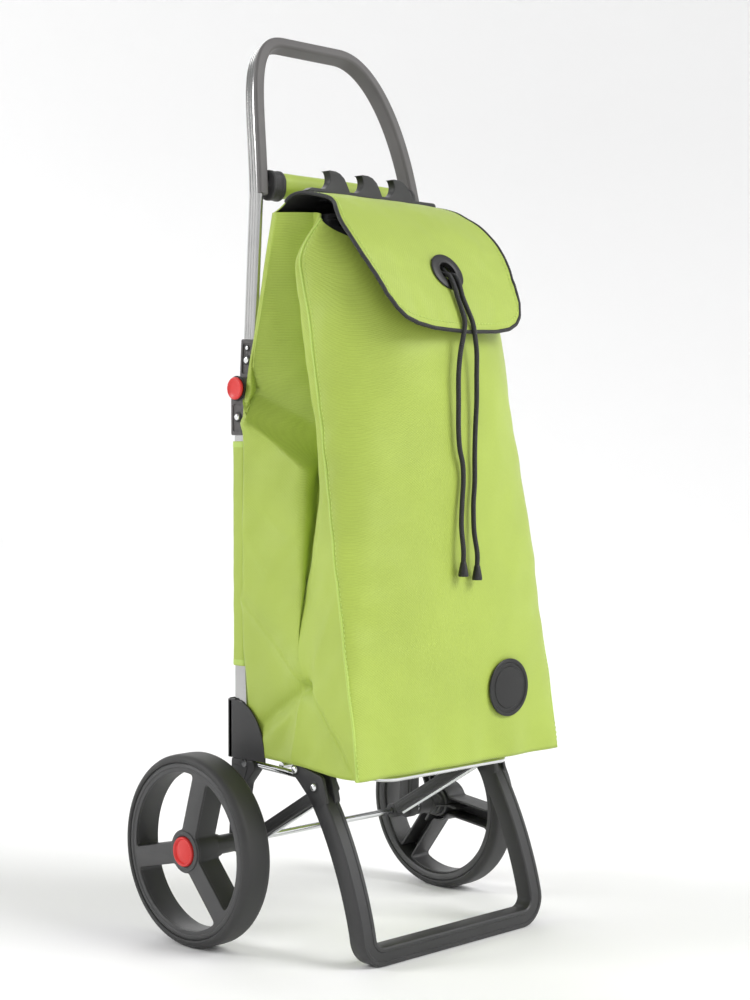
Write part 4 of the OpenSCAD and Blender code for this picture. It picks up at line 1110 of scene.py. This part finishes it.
def outward_normals(verts, faces):
    """Normals of the whole outside, and whether the faces have to be turned over."""
    me = mesh_from("bag_outer", verts, faces)
    bm = bmesh.new()
    bm.from_mesh(me)
    bm.normal_update()
    middle = Vector((0, -0.06, 0.5))
    flip = sum(1 if f.normal.dot(f.calc_center_median() - middle) > 0 else -1 for f in bm.faces) < 0
    if flip:
        bmesh.ops.reverse_faces(bm, faces=bm.faces)
        bm.normal_update()
    normals = [v.normal.copy() for v in bm.verts]
    bm.free()
    bpy.data.meshes.remove(me)
    return normals, flip


def two_sided(me, first, count):
    """Green cloth, with the black lining on count faces from first on."""
    me.materials.append(MAT["green_fabric"])
    me.materials.append(MAT["black_fabric"])
    for k, poly in enumerate(me.polygons):
        poly.use_smooth = True
        poly.material_index = 1 if first <= k < first + count else 0


def build_bag():
    floor, rings = bag_rows()
    rows = floor + rings
    n = len(rings[0])
    verts = [P(*p) for r in rows for p in r]
    lined = bag_lining(rows, len(floor))
    normals, flip = outward_normals(verts, [tuple(reversed(range(n)))] + tube_faces(len(rows), n))

    def part(name, r0, r1, has_floor):
        ids = range(r0 * n, (r1 + 1) * n)
        count = len(ids)
        f_out = tube_faces(r1 - r0 + 1, n)
        if has_floor:
            f_out = [tuple(reversed(range(n)))] + f_out
        if flip:
            f_out = [tuple(reversed(f)) for f in f_out]
        f_in = [tuple(i + count for i in reversed(f)) for f in f_out]
        strips = []
        for base in ([(r1 - r0) * n] if has_floor else [0, (r1 - r0) * n]):
            for j in range(n):
                q = (base + j, base + (j + 1) % n, base + (j + 1) % n + count, base + j + count)
                strips.append(q if (base != 0) != flip else tuple(reversed(q)))
        me = mesh_from(name, [verts[i] for i in ids] + [lined[i] for i in ids], f_out + f_in + strips)
        two_sided(me, len(f_out), len(f_in))
        me.normals_split_custom_set_from_vertices([tuple(normals[i]) for i in ids] + [(0, 0, 0)] * count)
        return new_object(name, me)

    cut = len(floor) + LOWER_ROWS
    return part("bag_lower_cloth", 0, cut, True), part("bag_upper_cloth", cut, len(rows) - 1, False), rings


bag_lower, bag_upper, bag_rings = build_bag()


def flattened(o, slot_name, *nodes):
    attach(o, "frame")
    dressed(nodes)
    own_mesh(o)


def follows_handle(o, slot_name, *nodes):
    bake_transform(o)
    dressed(nodes)


flattened(bag_lower, "green_fabric", "bag_body")
follows_handle(bag_upper, "green_fabric")


def stitches(path, radius):
    return [rope_tube("stitch", path[k:k + 3], radius, "green_thread", 5) for k in range(0, len(path) - 3, 4)]


def seam_pieces():
    """Corded seam down each front corner, with a row of stitches beside it."""
    n = len(bag_rings[0])
    parts = (("lower", 0, LOWER_ROWS, flattened), ("upper", LOWER_ROWS, len(bag_rings) - 1, follows_handle))
    for part, r0, r1, moved in parts:
        def down(index, proud=0.0):
            return [P(*ring[index]) + Vector((0, -proud, 0)) for ring in bag_rings[r0:r1 + 1]]
        tubes = [rope_tube("seam", down(index), 1.5, "green_edge", 8)
                 for index in (SEAM_COLUMN, n - SEAM_COLUMN)]
        for index in (SEAM_COLUMN + 1, n - SEAM_COLUMN - 1):
            tubes += stitches(even(down(index, 0.0006), 0.0014), 0.42)
        moved(join(tubes, "bag_seam_" + part), "green_fabric")


seam_pieces()


def collar():
    """Black gathered lining that closes over the mouth under the flap."""
    rings = []
    for k in range(9):
        t = k / 8
        ring = []
        for j, p in enumerate(bag_rings[-1]):
            inward = Vector((-p.x, MOUTH_MID - p.y, 0)).normalized()
            ruffle = math.sin(j * 0.9 + 2.0 * math.sin(j * 0.13)) * (0.6 + 2.4 * t)
            front = smooth(-60, -110, p.y)
            q = p + inward * (3.6 + 25 * t ** 1.5)
            q.z = p.z - 9 * (1 - t) ** 3 + (5.0 * front - 3.0) * t + ruffle * 0.6 * t
            ring.append(P(*(q + inward * ruffle * 0.5)))
        rings.append(ring)
    o = skin("bag_collar_gathered", rings, "black_fabric", 70, caps=False)
    cloth = o.modifiers.new("cloth", "SOLIDIFY")
    cloth.thickness = 0.0012
    cloth.offset = 0
    me = evaluated(o)
    o.modifiers.clear()
    o.data = me
    shaded(me, 70)
    follows_handle(o, "black_fabric", "bag_collar")


collar()


def badge():
    """Round moulded badge: a raised rim, a shallow ring and a flat middle."""
    profile = [(0.0001, 0), (32.4, 0), (33.5, 0.8), (33.5, 1.8), (32.6, 2.5), (29.4, 2.5), (28.4, 1.3),
               (24.6, 1.3), (23.8, 2.2), (21.0, 2.5), (0.0001, 2.5)]
    disc = lathe("badge_disc", profile, P(74, -226.4, 291), (0, -1, 0), "black_plastic", 96, 30)
    flattened(disc, "black_plastic", "badge")


badge()


# ------------------------------------------------------------------ flap

# The flap's middle line from its root forward and down, as (y, z), and its half width at each point.
FLAP = [(-36, 838.5), (-44, 842.5), (-52, 848), (-61, 856), (-73, 860.5), (-95, 858.5), (-114, 853.5),
    (-127, 846.5), (-141, 836), (-158.5, 818), (-175, 799), (-188, 780.5), (-199, 762), (-210, 742),
    (-220.5, 720), (-228, 699)]
FLAP_HALF = [118, 117, 116, 115, 109, 106, 105.5, 108, 117, 124.5, 124, 121, 115.5, 110.5, 108.5, 107.5]
FLAP_ROWS, FLAP_COLS = 96, 60


def flap_line():
    line = spline([Vector((y, z, w)) for (y, z), w in zip(FLAP, FLAP_HALF)], 12)
    out = [line[0]]
    run = [0.0]
    for a, b in zip(line, line[1:]):
        run.append(run[-1] + math.hypot(b.x - a.x, b.y - a.y))
    k = 0
    for i in range(1, FLAP_ROWS + 1):
        want = run[-1] * i / FLAP_ROWS
        while k < len(run) - 2 and run[k + 1] < want:
            k += 1
        t = (want - run[k]) / max(run[k + 1] - run[k], 1e-9)
        out.append(line[k].lerp(line[k + 1], min(t, 1)))
    return out, run[-1]


FLAP_LINE, FLAP_LEN = flap_line()
# How far the lower edge draws up towards the corners, as (share of the half width, mm).
CORNER = [(0.0, 0.0), (0.46, 2.2), (0.70, 6.5), (0.84, 13.5), (0.93, 24.0), (1.0, 42.0)]


def flap_point(u, s, lift=0.0):
    """Point of the flap: u from -1 to 1 across, s from 0 at the root to 1 at its lower edge."""
    a = abs(u)
    for (u0, c0), (u1, c1) in zip(CORNER, CORNER[1:]):
        if a <= u1 + 1e-9:
            cut = c0 + (c1 - c0) * (a - u0) / (u1 - u0)
            break
    at = s * (FLAP_LEN - cut * smooth(0.55, 1, s)) / FLAP_LEN * FLAP_ROWS
    i = min(int(at), FLAP_ROWS - 1)
    p = FLAP_LINE[i].lerp(FLAP_LINE[i + 1], at - i)
    d = FLAP_LINE[min(i + 2, FLAP_ROWS)] - FLAP_LINE[max(i - 1, 0)]
    n = Vector((d.y, -d.x)).normalized()
    if n.y < 0:
        n = -n
    x = u * p.z
    droop = 3.2 * a ** 4 * smooth(0.05, 0.3, s) * (1 - 0.6 * smooth(0.7, 1, s))
    wave = 1.5 * uneven(x * 0.02, s * 5.0, 3.0) * smooth(0.1, 0.4, s)
    wave += 0.7 * uneven(x * 0.06, s * 12.0, 8.0) * smooth(0.1, 0.4, s)
    off = lift + wave - droop
    return P(x, p.x + n.x * off, p.y + n.y * off)


EYELET_Y, EYELET_Z, EYELET_HOLE = -197.1, 767.0, 0.0165     # mm, mm, m


def flap_bends(o, slot_name, *nodes):
    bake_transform(o)
    dressed(nodes)


def flap():
    centre = P(0, EYELET_Y, EYELET_Z)
    verts = [flap_point(-1 + 2 * j / FLAP_COLS, i / FLAP_ROWS, lift)
             for lift in (0.9, -0.9) for i in range(FLAP_ROWS + 1) for j in range(FLAP_COLS + 1)]
    w = FLAP_COLS + 1
    count = w * (FLAP_ROWS + 1)
    quads = [(i * w + j, i * w + j + 1, (i + 1) * w + j + 1, (i + 1) * w + j)
             for i in range(FLAP_ROWS) for j in range(FLAP_COLS)]
    top = [q for q in quads if any((verts[k] - centre).length >= EYELET_HOLE for k in q)]
    under = [tuple(k + count for k in reversed(q)) for q in top]
    edges = dict.fromkeys((a, b) for f in top for a, b in zip(f, f[1:] + f[:1]))
    rim = [(b, a, a + count, b + count) for a, b in edges if (b, a) not in edges]
    me = mesh_from("bag_flap_cloth", verts, top + under + rim)
    two_sided(me, len(top), len(under))
    bm = bmesh.new()
    bm.from_mesh(me)
    bmesh.ops.delete(bm, geom=[v for v in bm.verts if not v.link_faces], context="VERTS")
    bmesh.ops.recalc_face_normals(bm, faces=bm.faces)
    bm.to_mesh(me)
    bm.free()
    cloth = new_object("bag_flap_cloth", me)

    edge = [(-1, i / 80) for i in range(6, 81)]
    edge += [(-1 + 2 * k / 120, 1) for k in range(1, 120)]
    edge += [(1, i / 80) for i in range(80, 5, -1)]
    route = even([flap_point(u, s) for u, s in edge], 0.003)
    piping = rope_tube("flap_piping_cord", route, 2.3, "black_fabric")
    inset = [flap_point(u * 0.945, s if s < 0.95 else 0.968, 1.2) for u, s in edge]
    thread = join(stitches(even(inset, 0.0013), 0.45), "flap_stitches")
    flap_bends(cloth, "green_fabric", "bag_flap", "flap_root")
    flap_bends(piping, "black_fabric", "flap_piping")
    flap_bends(thread, "green_fabric")
    ring = [(12, -2.6), (12, 2.8), (13, 3.4), (15, 3.7), (21, 3.5), (23, 2.7), (23.5, 1.5), (23.2, 1.1),
            (14, 1.1), (14, -1.1), (22.6, -1.1), (23.2, -1.6), (22, -2.6), (12, -2.6)]
    eyelet = lathe("eyelet_ring", ring, centre, (0, -0.88, 0.475), "black_plastic", 72, 30)
    placed(eyelet, "flap", "black_plastic", "eyelet")


flap()


# ------------------------------------------------------------------ carried-over parts

def dress(mat, *names):
    for name in names:
        o = frame["nodes"][name]
        o.data.materials.clear()
        o.data.materials.append(MAT[mat])


dress("aluminium", "lower_crossbar", "upper_crossbar")
dress("chrome", "pivot_pins", "leg_bolts", "axle", "axle_washers", "platform_pins", "rail_screws",
      "platform_bar_left", "platform_bar_right", "platform_tie", "platform_wire", "foot_pins",
      "strut_rod_left", "strut_rod_right", "button_springs")
dress("black_plastic", "base_board", "wheel_bush_left", "wheel_bush_right")


# ------------------------------------------------------------------ floor

def backdrop():
    """Seamless pale floor that curves up into a low round wall, far from the object."""
    flat, bend, wall, steps, around = 9.0, 3.0, 2.2, 12, 96
    profile = [(1.0, 0.0), (3.0, 0.0), (6.0, 0.0)]
    for k in range(steps + 1):
        a = math.pi / 2 * k / steps
        profile.append((flat + bend * math.sin(a), bend * (1 - math.cos(a))))
    profile.append((flat + bend, bend + wall))
    turns = [2 * math.pi * k / around for k in range(around)]
    verts = [(0, 0, 0)] + [(r * math.cos(a), r * math.sin(a), z) for r, z in profile for a in turns]
    faces = [(0, 1 + k, 1 + (k + 1) % around) for k in range(around)]
    faces += [tuple(1 + i for i in (f[0], f[3], f[2], f[1])) for f in tube_faces(len(profile), around)]
    mesh = mesh_from("floor", verts, faces)
    mesh.polygons.foreach_set("use_smooth", [True] * len(faces))
    mesh.materials.append(new_material("pale_floor", (0.93, 0.93, 0.93), 0.8)[0])
    new_object("floor", mesh)


backdrop()

bpy.context.view_layer.update()
